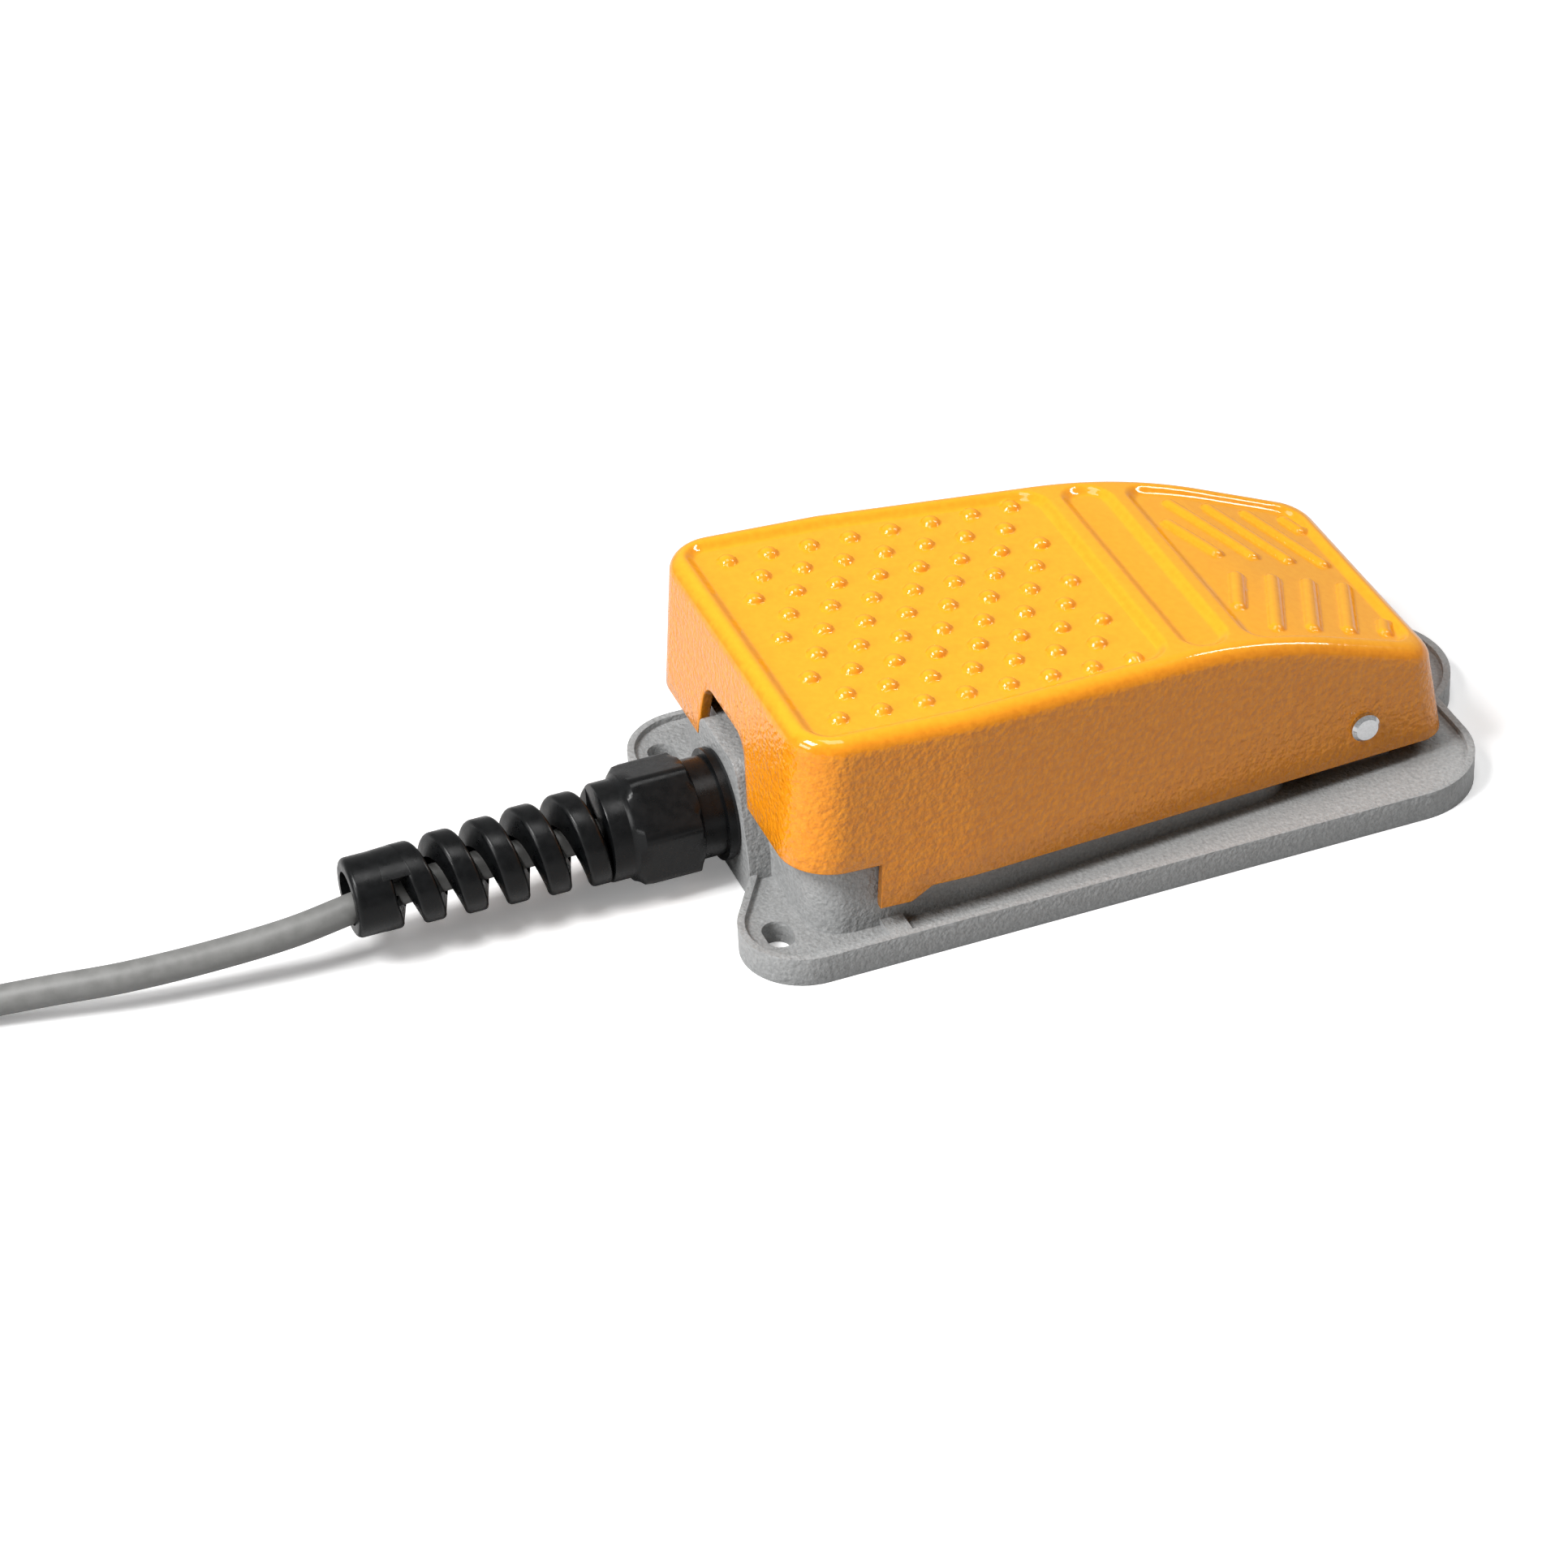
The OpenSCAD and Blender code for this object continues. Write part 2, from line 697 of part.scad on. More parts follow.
// One sunk panel of the tread between two places along the pedal
module panel(y0, y1) {
    linear_extrude(far)
        polygon(rounded(
            [[-panel_x(y0), y0], [-panel_x(y1), y1], [panel_x(y1), y1], [panel_x(y0), y0]], panel_r
        ));
}

// Rod between two points
module rod(p, q, d) {
    run = q - p;
    translate(p)
        rotate([0, acos(run[2] / norm(run)), atan2(run[1], run[0])])
            cylinder(d = d, h = norm(run));
}

// Full travel turns what is drawn at full travel back to rest
module at_rest() {
    translate([0, pin_y, pin_z])
        rotate([press_angle, 0, 0])
            translate([0, -pin_y, -pin_z])
                children();
}

// Everything above the skirt's lower edge, with the stop tabs
module above_skirt() {
    low_z = rim_h + stop_gap;
    at_rest()
        side_shape(pedal_w + 2 * lap)
            polygon([
                [heel_y, skirt_z], [stop_y - stop_l - stop_ramp, skirt_z], [stop_y - stop_l, low_z],
                [stop_y, low_z], [stop_y, toe_skirt_z], [toe_y + lap, toe_skirt_z],
                [toe_y + lap, 2 * pedal_h], [heel_y, 2 * pedal_h],
            ]);
}

// Rounded bumps of the tread, in staggered rows
module bumps() {
    ball_r = (bump_d * bump_d / 4 + bump_h * bump_h) / (2 * bump_h);
    for (i = [0 : bump_rows - 1], j = [0 : bump_count - 1 - i % 2]) {
        x = ((bump_rows - 1) / 2 - i) * bump_pitch * cos(30);
        y = bump_y - (j + (i % 2) / 2) * bump_pitch;
        translate([x, y, rim_z(y) - panel_d + bump_h - ball_r])
            intersection() {
                sphere(ball_r);
                translate([-ball_r, -ball_r, ball_r - bump_h - lap])
                    cube(2 * ball_r);
            }
    }
}

// Slanting ribs of the heel part, on both sides of the middle
module heel_ribs() {
    slope = tan(rib_slant);
    low_y = pheel_y + tread_rim + rib_d / 2;
    high_y = ridge_rear_y - ridge_w / 2 - rib_d;
    for (s = [-1, 1], k = [0 : 4]) {
        y0 = rib_y - k * rib_pitch;
        x0 = max(rib_in, rib_in + (low_y - y0) / slope);
        x1 = min(panel_x(y0) - rib_margin, rib_in + (high_y - y0) / slope);
        ends = [for (x = [x0, x1])
            let (y = y0 + (x - rib_in) * slope)
            [s * x, y, rim_z(y) - panel_d + rib_h - rib_d / 2]];
        intersection() {
            rod(ends[0], ends[1], rib_d);
            above_top(panel_d + lap);
        }
    }
}

// What stays solid inside the pedal: bosses for the pin, the screw and the springs
module pedal_bosses() {
    boss_x = side_x(pin_y) - skirt_t - pin_boss_l;
    for (s = [0, 1])
        mirror([s, 0, 0])
            along_x(boss_x, pin_y, pin_z)
                cylinder(d = pin_boss_d, h = pedal_w);
    translate([0, roller_y, pusher_boss_z])
        cylinder(d = pusher_boss_d, h = far);
    for (s = [-1, 1])
        translate([s * spring_x, spring_y, seat_z - cup_d])
            cylinder(d = spring_d + 2 * cup_wall, h = far);
}

// Ribs inside the heel that stop the pedal at rest, just above the plate
module heel_stops() {
    stop_t = 3;
    stop_depth = 4;
    stop_x = 18;
    y = pheel_y + skirt_t + 2 * stop_depth;
    for (s = [-1, 1])
        translate([s * stop_x - stop_t / 2, y - stop_depth / 2, plate_z + stop_gap])
            cube([stop_t, stop_depth, rim_z(y) - panel_d - tread_t + lap - plate_z]);
}

// Places of the bracket's two screws
module bracket_places() {
    for (s = [-1, 1])
        translate([bracket_screw_x, case_y + s * bracket_screw_span / 2, 0])
            children();
}

// Places of the switch's two fixing screws, with children along +X from a plane
module fixing_places(x) {
    along_x(x, case_y - fix_span / 2, fix_low_z)
        children();
    along_x(x, case_y + fix_span / 2, fix_high_z)
        children();
}

// Places of the three tabs in the floor of the switch case
module tab_places() {
    for (y = [blade_y, open_y, closed_y])
        translate([0, y, 0])
            children();
}

// Six-sided prism by its width across the flats
module hexagon(across, h) {
    cylinder(d = across / cos(30), h = h, $fn = 6);
}

// Cheese-head screw with a cross slot, its shank along -Z from the seat of its head
module slotted_screw(d, l, head_d, head_h) {
    slot = 1;
    cross_l = 0.6 * head_d;
    difference() {
        cylinder(d = head_d, h = head_h);
        for (a = [0, 90])
            rotate([0, 0, a])
                translate([-cross_l / 2, -slot / 2, head_h - slot])
                    cube([cross_l, slot, 2 * slot]);
    }
    translate([0, 0, -l])
        cylinder(d = d, h = l + lap);
}

// The lever at rest, raised from its level place at full travel
module lever_at_rest() {
    translate([0, hinge_y, hinge_z])
        rotate([lever_angle, 0, 0])
            translate([0, -hinge_y, -hinge_z])
                children();
}

// Carries a flat shape, drawn in width and height, along the pedal from a place forward
module across_toe(y, length) {
    translate([0, y + length, 0])
        rotate([90, 0, 0])
            linear_extrude(length)
                children();
}

// Notch in the pedal's toe, drawn smaller by an inset: leaning sides and round upper corners
module notch_shape(inset) {
    lean = 13.8;
    r = notch_r - inset;
    x = notch_w / 2 - notch_r / tan(45 + lean / 2);
    z = notch_z - notch_r;
    edge_x = x + r * cos(lean);
    edge_z = z + r * sin(lean);
    foot_x = edge_x + edge_z * tan(lean);
    polygon([
        [-foot_x, 0], [foot_x, 0], [edge_x, edge_z], [x, z + r], [-x, z + r], [-edge_x, edge_z],
    ]);
    for (s = [-1, 1])
        translate([s * x, z])
            circle(r);
}

// Boss round the gland: it stays clear of the notch at full travel
module boss_shape() {
    gap = 0.9;
    drop = (front_y - pin_y) * sin(press_angle);
    intersection() {
        translate([0, -drop])
            notch_shape(gap);
        translate([-boss_x, 0])
            square([2 * boss_x, notch_z]);
    }
}

// Two slots across the toe lobes
module toe_slots() {
    for (s = [-1, 1])
        translate([s * slot_span / 2, toe_y - slot_in, -lap])
            linear_extrude(rim_h + 2 * lap)
                union() {
                    square([slot_len - slot_w, slot_w], center = true);
                    for (e = [-1, 1])
                        translate([e * (slot_len - slot_w) / 2, 0])
                            circle(d = slot_w);
                }
}

// Lugs that carry the pedal pin
module pin_lugs() {
    foot = 2;
    for (s = [0, 1])
        mirror([s, 0, 0])
            difference() {
                translate([lug_x - lug_t / 2, 0, 0])
                    side_shape(lug_t)
                        union() {
                            translate([pin_y, pin_z])
                                circle(lug_r);
                            polygon([
                                [pin_y - lug_r - foot, plate_z - lap], [pin_y + lug_r + foot, plate_z - lap],
                                [pin_y + lug_r, pin_z], [pin_y - lug_r, pin_z],
                            ]);
                        }
                along_x(0, pin_y, pin_z)
                    cylinder(d = bush_d + 2 * snug, h = far);
            }
}

// What stands in the switch box: spring posts, bracket posts and the earth boss
module box_posts() {
    for (s = [-1, 1])
        translate([s * spring_x, spring_y, 0])
            cylinder(d = spring_d - 2 * spring_wire - 2 * post_fit, h = box_floor + post_h);
    bracket_places()
        cylinder(d = bracket_post_d, h = bracket_z);
    translate([earth_x, earth_y, 0])
        cylinder(d = earth_boss_d, h = earth_z);
}

// Base: plate with rim, lobes and ear, the switch box, gland boss, stop blocks and pin lugs
module base_casting() {
    block_x = box_x(stop_y) - lap;
    color("#8f9293")
        difference() {
            union() {
                difference() {
                    linear_extrude(rim_h)
                        base_outline(0);
                    translate([0, 0, plate_z])
                        linear_extrude(rim_h)
                            base_outline(rim_w);
                }
                linear_extrude(box_h)
                    box_outline(0);
                // Boss round the gland
                across_toe(wall_y - box_wall, boss_l + box_wall)
                    boss_shape();
                // Blocks under the pedal's stop tabs
                for (s = [0, 1])
                    mirror([s, 0, 0])
                        translate([block_x, stop_y - free_gap - block_l, lap])
                            cube([base_w / 2 - rim_w / 2 - block_x, block_l, rim_h - lap]);
                pin_lugs();
            }
            difference() {
                translate([0, 0, box_floor])
                    linear_extrude(far)
                        box_outline(box_wall);
                box_posts();
            }
            bracket_places()
                translate([0, 0, box_floor])
                    cylinder(d = bracket_screw_d + 2 * snug, h = far);
            translate([earth_x, earth_y, box_floor])
                cylinder(d = earth_screw_d + 2 * snug, h = far);
            // Bore of the gland
            on_gland(wall_y - box_wall - lap)
                cylinder(d = thread_d + 2 * gland_fit, h = boss_l + box_wall + 2 * lap);
            toe_slots();
            translate([0, heel_y + ear_hole_in, -lap])
                cylinder(d = ear_hole_d, h = rim_h + 2 * lap);
            // Shallow recess in the underside
            translate([0, 0, -lap])
                linear_extrude(under_d + lap)
                    polygon(rounded([
                        [-under_x, -under_y], [under_x, -under_y], [under_x, under_y], [-under_x, under_y],
                    ], box_r));
        }
}

// Four rubber pads in the recess of the underside
module anti_slip_pads() {
    color("#202122")
        for (x = [-1, 1], y = [-1, 1])
            translate([x * pad_x, y * pad_y, 0])
                cylinder(d = pad_d, h = under_d);
}

// Pedal: hollow casting with sunk tread panels, bumps, ridges, ribs, stop tabs and inner bosses
module pedal_casting() {
    color("#f0a42c")
        difference() {
            union() {
                intersection() {
                    difference() {
                        pedal_form(0, 0, 3);
                        intersection() {
                            above_top(panel_d);
                            union() {
                                panel(ridge_y + ridge_w / 2, ptoe_y - tread_rim);
                                panel(ridge_rear_y + ridge_w / 2, ridge_y - ridge_w / 2);
                                panel(pheel_y + tread_rim, ridge_rear_y - ridge_w / 2);
                            }
                        }
                        difference() {
                            pedal_form(skirt_t, panel_d + tread_t, 0);
                            pedal_bosses();
                        }
                    }
                    above_skirt();
                }
                bumps();
                heel_ribs();
                heel_stops();
            }
            // Notch over the gland boss
            across_toe(wall_y - box_wall, far)
                notch_shape(0);
            along_x(-far / 2, pin_y, pin_z)
                cylinder(d = pin_d + 2 * snug, h = far);
            translate([0, roller_y, 0])
                cylinder(d = pusher_d + 2 * snug, h = pusher_top_z);
            for (s = [-1, 1])
                translate([s * spring_x, spring_y, 0])
                    cylinder(d = spring_d + 2 * cup_fit, h = seat_z);
        }
}

// Steel pin through the pedal's skirts, with bevelled ends
module pivot_pin() {
    half = side_x_at(pin_y, pin_z) + pin_out;
    bevel = 0.8;
    r = pin_d / 2;
    color("#c9cbcc")
        along_x(0, pin_y, pin_z)
            rotate_extrude()
                polygon([
                    [0, -half], [r - bevel, -half], [r, -half + bevel], [r, half - bevel], [r - bevel, half],
                    [0, half],
                ]);
}

// Flanged bushes in the lugs
module pivot_bushes() {
    flange = 4;
    color("#b08d4a")
        for (s = [0, 1])
            mirror([s, 0, 0])
                difference() {
                    union() {
                        along_x(lug_x - lug_t, pin_y, pin_z)
                            cylinder(d = bush_d, h = lug_t + bush_flange_t);
                        along_x(lug_x, pin_y, pin_z)
                            cylinder(d = bush_d + flange, h = bush_flange_t);
                    }
                    along_x(0, pin_y, pin_z)
                        cylinder(d = pin_d + 2 * run_fit, h = far);
                }
}

// Two compression springs with closed end turns
module return_springs() {
    per_turn = 14;
    closed = 1.15 * spring_wire;
    low = box_floor + spring_wire / 2;
    rise = seat_z - box_floor - spring_wire - 2 * closed;
    function height(turn) =
        turn < 1 ? closed * turn
        : turn > spring_turns - 1 ? 2 * closed + rise - closed * (spring_turns - turn)
        : closed + rise * (turn - 1) / (spring_turns - 2);
    r = (spring_d - spring_wire) / 2;
    color("#a9adb0")
        for (s = [-1, 1])
            translate([s * spring_x, spring_y, low])
                tube([
                    for (i = [0 : spring_turns * per_turn])
                        let (a = 360 * i / per_turn)
                        [r * cos(a), r * sin(a), height(i / per_turn)]
                ], spring_wire / 2, 8, [0, 0, 1]);
}

// Sheet bracket that holds the switch upright in the box
module switch_bracket() {
    margin = 0.4;
    color("#b9bcbd")
        difference() {
            union() {
                translate([bracket_x, case_y - case_l / 2, bracket_z])
                    cube([bracket_t, case_l, case_top - margin - bracket_z]);
                translate([bracket_x, case_y - case_l / 2, bracket_z])
                    cube([bracket_foot, case_l, bracket_t]);
            }
            fixing_places(0)
                cylinder(d = fix_d + 2 * run_fit, h = far);
            bracket_places()
                cylinder(d = bracket_screw_d + 2 * run_fit, h = far);
        }
}

// Screws of the bracket
module bracket_screws() {
    color("#c4c6c8")
        bracket_places()
            translate([0, 0, bracket_z + bracket_t])
                slotted_screw(bracket_screw_d, bracket_z + bracket_t - box_floor - touch_gap, screw_head_d,
                    screw_head_h);
}

// Case of the snap switch, open towards its cover, with ears for the lever's pin
module switch_case() {
    cover_x = -case_t / 2 + cover_t;
    color("#26282a")
        difference() {
            union() {
                translate([cover_x, case_y - case_l / 2, case_z])
                    cube([case_t - cover_t, case_l, case_h]);
                for (x = [-ear_x - ear_t, ear_x])
                    translate([x + ear_t / 2, 0, 0])
                        side_shape(ear_t)
                            union() {
                                translate([hinge_y, hinge_z])
                                    circle(lever_eye_r);
                                polygon([
                                    [hinge_y - lever_eye_r, case_top - lap], [hinge_y + lever_eye_r, case_top - lap],
                                    [hinge_y + lever_eye_r, hinge_z], [hinge_y - lever_eye_r, hinge_z],
                                ]);
                            }
            }
            translate([-case_t, case_y - pocket_l / 2, pocket_z])
                cube([3 * case_t / 2 - case_wall, pocket_l, pocket_h]);
            fixing_places(-case_t)
                cylinder(d = fix_d + 2 * run_fit, h = 2 * case_t);
            translate([0, plunger_y, pocket_z])
                cylinder(d = plunger_d + 2 * run_fit, h = far);
            tab_places()
                translate([-tab_w / 2 - snug, -tab_t / 2 - snug, case_z - lap])
                    cube([tab_w + 2 * snug, tab_t + 2 * snug, pocket_z - case_z + 2 * lap]);
            along_x(-case_t, hinge_y, hinge_z)
                cylinder(d = lever_pin_d + 2 * snug, h = 2 * case_t);
        }
}

// Side cover of the switch case
module switch_cover() {
    color("#303234")
        difference() {
            translate([-case_t / 2, case_y - case_l / 2, case_z])
                cube([cover_t, case_l, case_h]);
            fixing_places(-case_t)
                cylinder(d = fix_d + 2 * run_fit, h = 2 * case_t);
        }
}

// Screws through cover, case and bracket
module switch_screws() {
    color("#c4c6c8")
        fixing_places(-case_t / 2)
            rotate([180, 0, 0])
                slotted_screw(fix_d, case_t + bracket_t + fix_nut_t + touch_gap, fix_head_d, fix_head_h);
}

// Nuts of those screws, behind the bracket
module switch_nuts() {
    color("#b9bcbd")
        fixing_places(bracket_x + bracket_t)
            difference() {
                hexagon(fix_head_d, fix_nut_t);
                translate([0, 0, -lap])
                    cylinder(d = fix_d + 2 * snug, h = fix_nut_t + 2 * lap);
            }
}

// Plunger with a domed top and a collar under the case's roof
module switch_plunger() {
    low = blade_z + blade_t / 2 + 2 * touch_gap;
    dome_r = 2.2;
    collar_d = 4.6;
    collar_t = 1;
    color("#d8d4c8")
        translate([0, plunger_y, 0])
            union() {
                intersection() {
                    translate([0, 0, low])
                        cylinder(d = plunger_d, h = plunger_top - low);
                    union() {
                        translate([0, 0, plunger_top - dome_r])
                            sphere(dome_r);
                        cylinder(d = 2 * plunger_d, h = plunger_top - dome_r);
                    }
                }
                translate([0, 0, pocket_top - touch_gap - collar_t])
                    cylinder(d = collar_d, h = collar_t);
            }
}

// Moving contact: a blade whose rolled end rocks on the common terminal
module contact_blade() {
    color("#c08a4a")
        difference() {
            union() {
                along_x(-hinge_roll_w / 2, blade_y, blade_z)
                    cylinder(r = hinge_roll_r, h = hinge_roll_w);
                translate([-hinge_roll_w / 2, blade_y, blade_z - blade_t / 2])
                    cube([hinge_roll_w, blade_l + rivet_d / 2, blade_t]);
                translate([0, rivet_y, blade_z - blade_t / 2 - rivet_h])
                    cylinder(d = rivet_d, h = blade_t + 2 * rivet_h);
            }
            along_x(-case_t, blade_y, blade_z)
                cylinder(d = hinge_rod_d + 2 * run_fit, h = 2 * case_t);
        }
}

// Terminal that carries the blade on a crosspiece between two prongs
module terminal_common() {
    prong_x = hinge_roll_w / 2 + touch_gap;
    foot_top = blade_z - hinge_roll_r - touch_gap;
    color("#c9a24e")
        union() {
            translate([-tab_w / 2, blade_y - tab_t / 2, tab_z])
                cube([tab_w, tab_t, foot_top - tab_z]);
            for (s = [0, 1])
                mirror([s, 0, 0])
                    translate([prong_x, blade_y - tab_t / 2, foot_top - lap])
                        cube([tab_w / 2 - prong_x, tab_t, blade_z + hinge_roll_r - foot_top + lap]);
            along_x(-prong_x - touch_gap, blade_y, blade_z)
                cylinder(d = hinge_rod_d, h = 2 * (prong_x + touch_gap));
        }
}

// Terminal under the blade's tip, which the pressed blade meets
module terminal_open() {
    arm_z = open_z - rivet_h - tab_t;
    color("#c9a24e")
        union() {
            translate([-tab_w / 2, open_y - tab_t / 2, tab_z])
                cube([tab_w, tab_t, arm_z + tab_t - tab_z]);
            translate([-hinge_roll_w / 2, open_y - tab_t / 2, arm_z])
                cube([hinge_roll_w, rivet_y + rivet_d / 2 - open_y + tab_t / 2, tab_t]);
            translate([0, rivet_y, arm_z])
                cylinder(d = rivet_d, h = tab_t + rivet_h);
        }
}

// Terminal above the blade's tip, which the blade meets at rest
module terminal_closed() {
    color("#c9a24e")
        union() {
            translate([-tab_w / 2, closed_y - tab_t / 2, tab_z])
                cube([tab_w, tab_t, closed_z + rivet_h + tab_t - tab_z]);
            translate([-hinge_roll_w / 2, rivet_y - rivet_d / 2, closed_z + rivet_h])
                cube([hinge_roll_w, closed_y + tab_t / 2 - rivet_y + rivet_d / 2, tab_t]);
            translate([0, rivet_y, closed_z])
                cylinder(d = rivet_d, h = rivet_h + tab_t);
        }
}

// Lever of the switch: a rolled eye, a sheet and a fork for the roller
module switch_lever() {
    fork_l = 5;
    fork_r = 1.6;
    color("#c4c6c8")
        lever_at_rest()
            difference() {
                union() {
                    along_x(-lever_w / 2, hinge_y, hinge_z)
                        cylinder(r = lever_eye_r, h = lever_w);
                    translate([-lever_w / 2, hinge_y, hinge_z - lever_t])
                        cube([lever_w, lever_l + fork_r, lever_t]);
                    for (s = [-1, 1])
                        translate([s * (lever_w - lever_t) / 2, 0, 0])
                            side_shape(lever_t)
                                union() {
                                    translate([roller_y, roller_z])
                                        circle(fork_r);
                                    polygon([
                                        [roller_y - fork_l, hinge_z - lever_t], [roller_y + fork_r, hinge_z - lever_t],
                                        [roller_y + fork_r, roller_z], [roller_y - fork_r, roller_z],
                                    ]);
                                }
                }
                along_x(-lever_w, hinge_y, hinge_z)
                    cylinder(d = lever_pin_d + 2 * run_fit, h = 2 * lever_w);
                along_x(-lever_w, roller_y, roller_z)
                    cylinder(d = lever_pin_d + 2 * snug, h = 2 * lever_w);
            }
}

// Pin of the lever, held in the case's ears
module lever_pin() {
    color("#d0d2d3")
        along_x(-ear_x - ear_t, hinge_y, hinge_z)
            cylinder(d = lever_pin_d, h = 2 * (ear_x + ear_t));
}

// Roller at the end of the lever
module lever_roller() {
    color("#e6e2d6")
        lever_at_rest()
            along_x(-roller_w / 2, roller_y, roller_z)
                difference() {
                    cylinder(d = roller_d, h = roller_w);
                    translate([0, 0, -lap])
                        cylinder(d = lever_pin_d + 2 * run_fit, h = roller_w + 2 * lap);
                }
}

// Pin of the roller, held in the lever's fork
module roller_pin() {
    color("#d0d2d3")
        lever_at_rest()
            along_x(-lever_w / 2, roller_y, roller_z)
                cylinder(d = lever_pin_d, h = lever_w);
}

// Adjusting screw that presses the roller down
module pusher_screw() {
    tip = 0.6;
    color("#b9bcbd")
        translate([0, roller_y, pusher_z])
            rotate_extrude()
                polygon([
                    [0, 0], [pusher_d / 2 - tip, 0], [pusher_d / 2, tip],
                    [pusher_d / 2, pusher_top_z - pusher_z - touch_gap], [0, pusher_top_z - pusher_z - touch_gap],
                ]);
}

// Nut that locks the adjusting screw under its boss
module pusher_locknut() {
    color("#c4c6c8")
        translate([0, roller_y, pusher_boss_z - locknut_t])
            difference() {
                hexagon(locknut_af, locknut_t);
                translate([0, 0, -lap])
                    cylinder(d = pusher_d + 2 * snug, h = locknut_t + 2 * lap);
            }
}

// Earth screw on its boss
module earth_screw() {
    color("#c9a24e")
        translate([earth_x, earth_y, earth_z])
            slotted_screw(earth_screw_d, earth_z - box_floor - touch_gap, screw_head_d, screw_head_h);
}

// Body of the cord gland, threaded at both ends
module gland_body() {
    color("#232425")
        difference() {
            union() {
                on_gland(tail_y)
                    cylinder(d = thread_d, h = nut_y + thread_l - tail_y);
                on_gland(flange_y)
                    cylinder(d = flange_d, h = flange_t);
                on_gland(flange_y)
                    cylinder(d = neck_d, h = nut_y - flange_y);
            }
            on_gland(tail_y - lap)
                cylinder(d = spiral_bore, h = far);
            on_gland(nut_y + thread_l - seal_l)
                cylinder(r = seal_r, h = far);
        }
}

// Flat washer between the gland's flange and the base
module gland_washer() {
    color("#17181a")
        on_gland(front_y)
            difference() {
                cylinder(d = flange_d - 1, h = seal_t);
                translate([0, 0, -lap])
                    cylinder(d = thread_d + 2 * gland_fit, h = seal_t + 2 * lap);
            }
}

// Nut on the gland's thread inside the box
module gland_locknut() {
    color("#2c2d2f")
        on_gland(locknut_y - gland_nut_t)
            difference() {
                hexagon(inner_nut_af, gland_nut_t);
                translate([0, 0, -lap])
                    cylinder(d = thread_d + 2 * snug, h = gland_nut_t + 2 * lap);
            }
}

// Rubber sleeve that the nut squeezes onto the cord
module gland_seal() {
    color("#1d1e1f")
        on_gland(nut_y + thread_l - seal_l)
            difference() {
                cylinder(r = seal_r - snug, h = seal_l);
                translate([0, 0, -lap])
                    cylinder(d = cord_d + 2 * snug, h = seal_l + 2 * lap);
            }
}

// Spiral of a flat band whose outer radius shrinks along the axis, from a share of its
// length to its end; where it is closed it reaches up into the end ring
module spiral(start, closed) {
    per_turn = 20;
    skin_in = 0.2;
    rise = ring_y - shoulder_y;
    steps = ceil(per_turn * (1 - start) * rise / spiral_pitch);
    top = rise + spiral_band / 2;
    sweep([
        for (i = [0 : steps])
            let (
                s = start + (1 - start) * i / steps,
                a = spiral_phase + 360 * s * rise / spiral_pitch,
                low = rise * s + (closed ? skin_in : 0),
                high = closed ? top : rise * s + spiral_band,
                inner = (bore_near + (spiral_bore - bore_near) * s) / 2 + skin_in,
                outer = (spiral_d0 + (spiral_d1 - spiral_d0) * s) / 2 - (closed ? 2 : 1) * skin_in
            )
            for (corner = [[inner, low], [outer, low], [outer, high], [inner, high]])
                [corner[0] * cos(a), corner[0] * sin(a), corner[1]]
    ], 4);
}

// Six-sided nut with the spiral that guards the cord against bending
module gland_nut() {
    bevel = 0.9;
    corner_r = nut_af / 2 / cos(30) + 0.1;
    color("#232425")
        difference() {
            union() {
                intersection() {
                    on_gland(nut_y)
                        rotate([0, 0, nut_turn])
                            hexagon(nut_af, nut_l);
                    on_gland(nut_y)
                        rotate_extrude()
                            polygon([
                                [0, 0], [nut_af / 2, 0], [corner_r, bevel], [corner_r, nut_l - bevel],
                                [nut_af / 2, nut_l], [0, nut_l],
                            ]);
                }
                on_gland(shoulder_y - lap)
                    cylinder(d = spiral_d0, h = spiral_y - shoulder_y + lap);
                on_gland(shoulder_y) {
                    spiral(0, false);
                    spiral(1 - (spiral_band + spiral_pitch * slot_end / 360) / (ring_y - shoulder_y), true);
                }
                on_gland(ring_y)
                    cylinder(d = spiral_d1, h = ring_l);
            }
            on_gland(shoulder_y)
                cylinder(d1 = bore_near, d2 = spiral_bore, h = ring_y + ring_l - shoulder_y + lap);
            on_gland(nut_y - lap)
                cylinder(d = bore_near, h = nut_l + 2 * lap);
            on_gland(nut_y - lap)
                cylinder(d = thread_d + 2 * run_fit, h = lap + thread_l + touch_gap);
        }
}

// Core from the cord to the common terminal
module core_wire_common() {
    color("#2f5fa8")
        tube(common_route, core_d / 2, core_sides, [0, 0, 1]);
}

// Core from the cord to the terminal that closes when the pedal is pressed
module core_wire_open() {
    color("#8a5a34")
        tube(open_route, core_d / 2, core_sides, [0, 0, 1]);
}

// Cord from the box through the gland to the coil
module cord_tube() {
    color("#83868a")
        tube(cord_route, cord_d / 2, cord_sides, [0, 0, 1]);
}

// Outer shape of the coiled length, two layers of turns side by side
module cord_coil() {
    half = 2 * cord_d;
    color("#83868a")
        translate([coil_x, coil_y, tie_t])
            rotate_extrude()
                polygon(rounded([
                    [coil_r - half, 0], [coil_r + half, 0], [coil_r + half, 2 * cord_d],
                    [coil_r - half, 2 * cord_d],
                ], cord_d / 2 - lap / 2));
}

// Cord from the coil to its plug
module cord_tail() {
    color("#83868a")
        tube(tail_route, cord_d / 2, cord_sides, [0, 0, 1]);
}

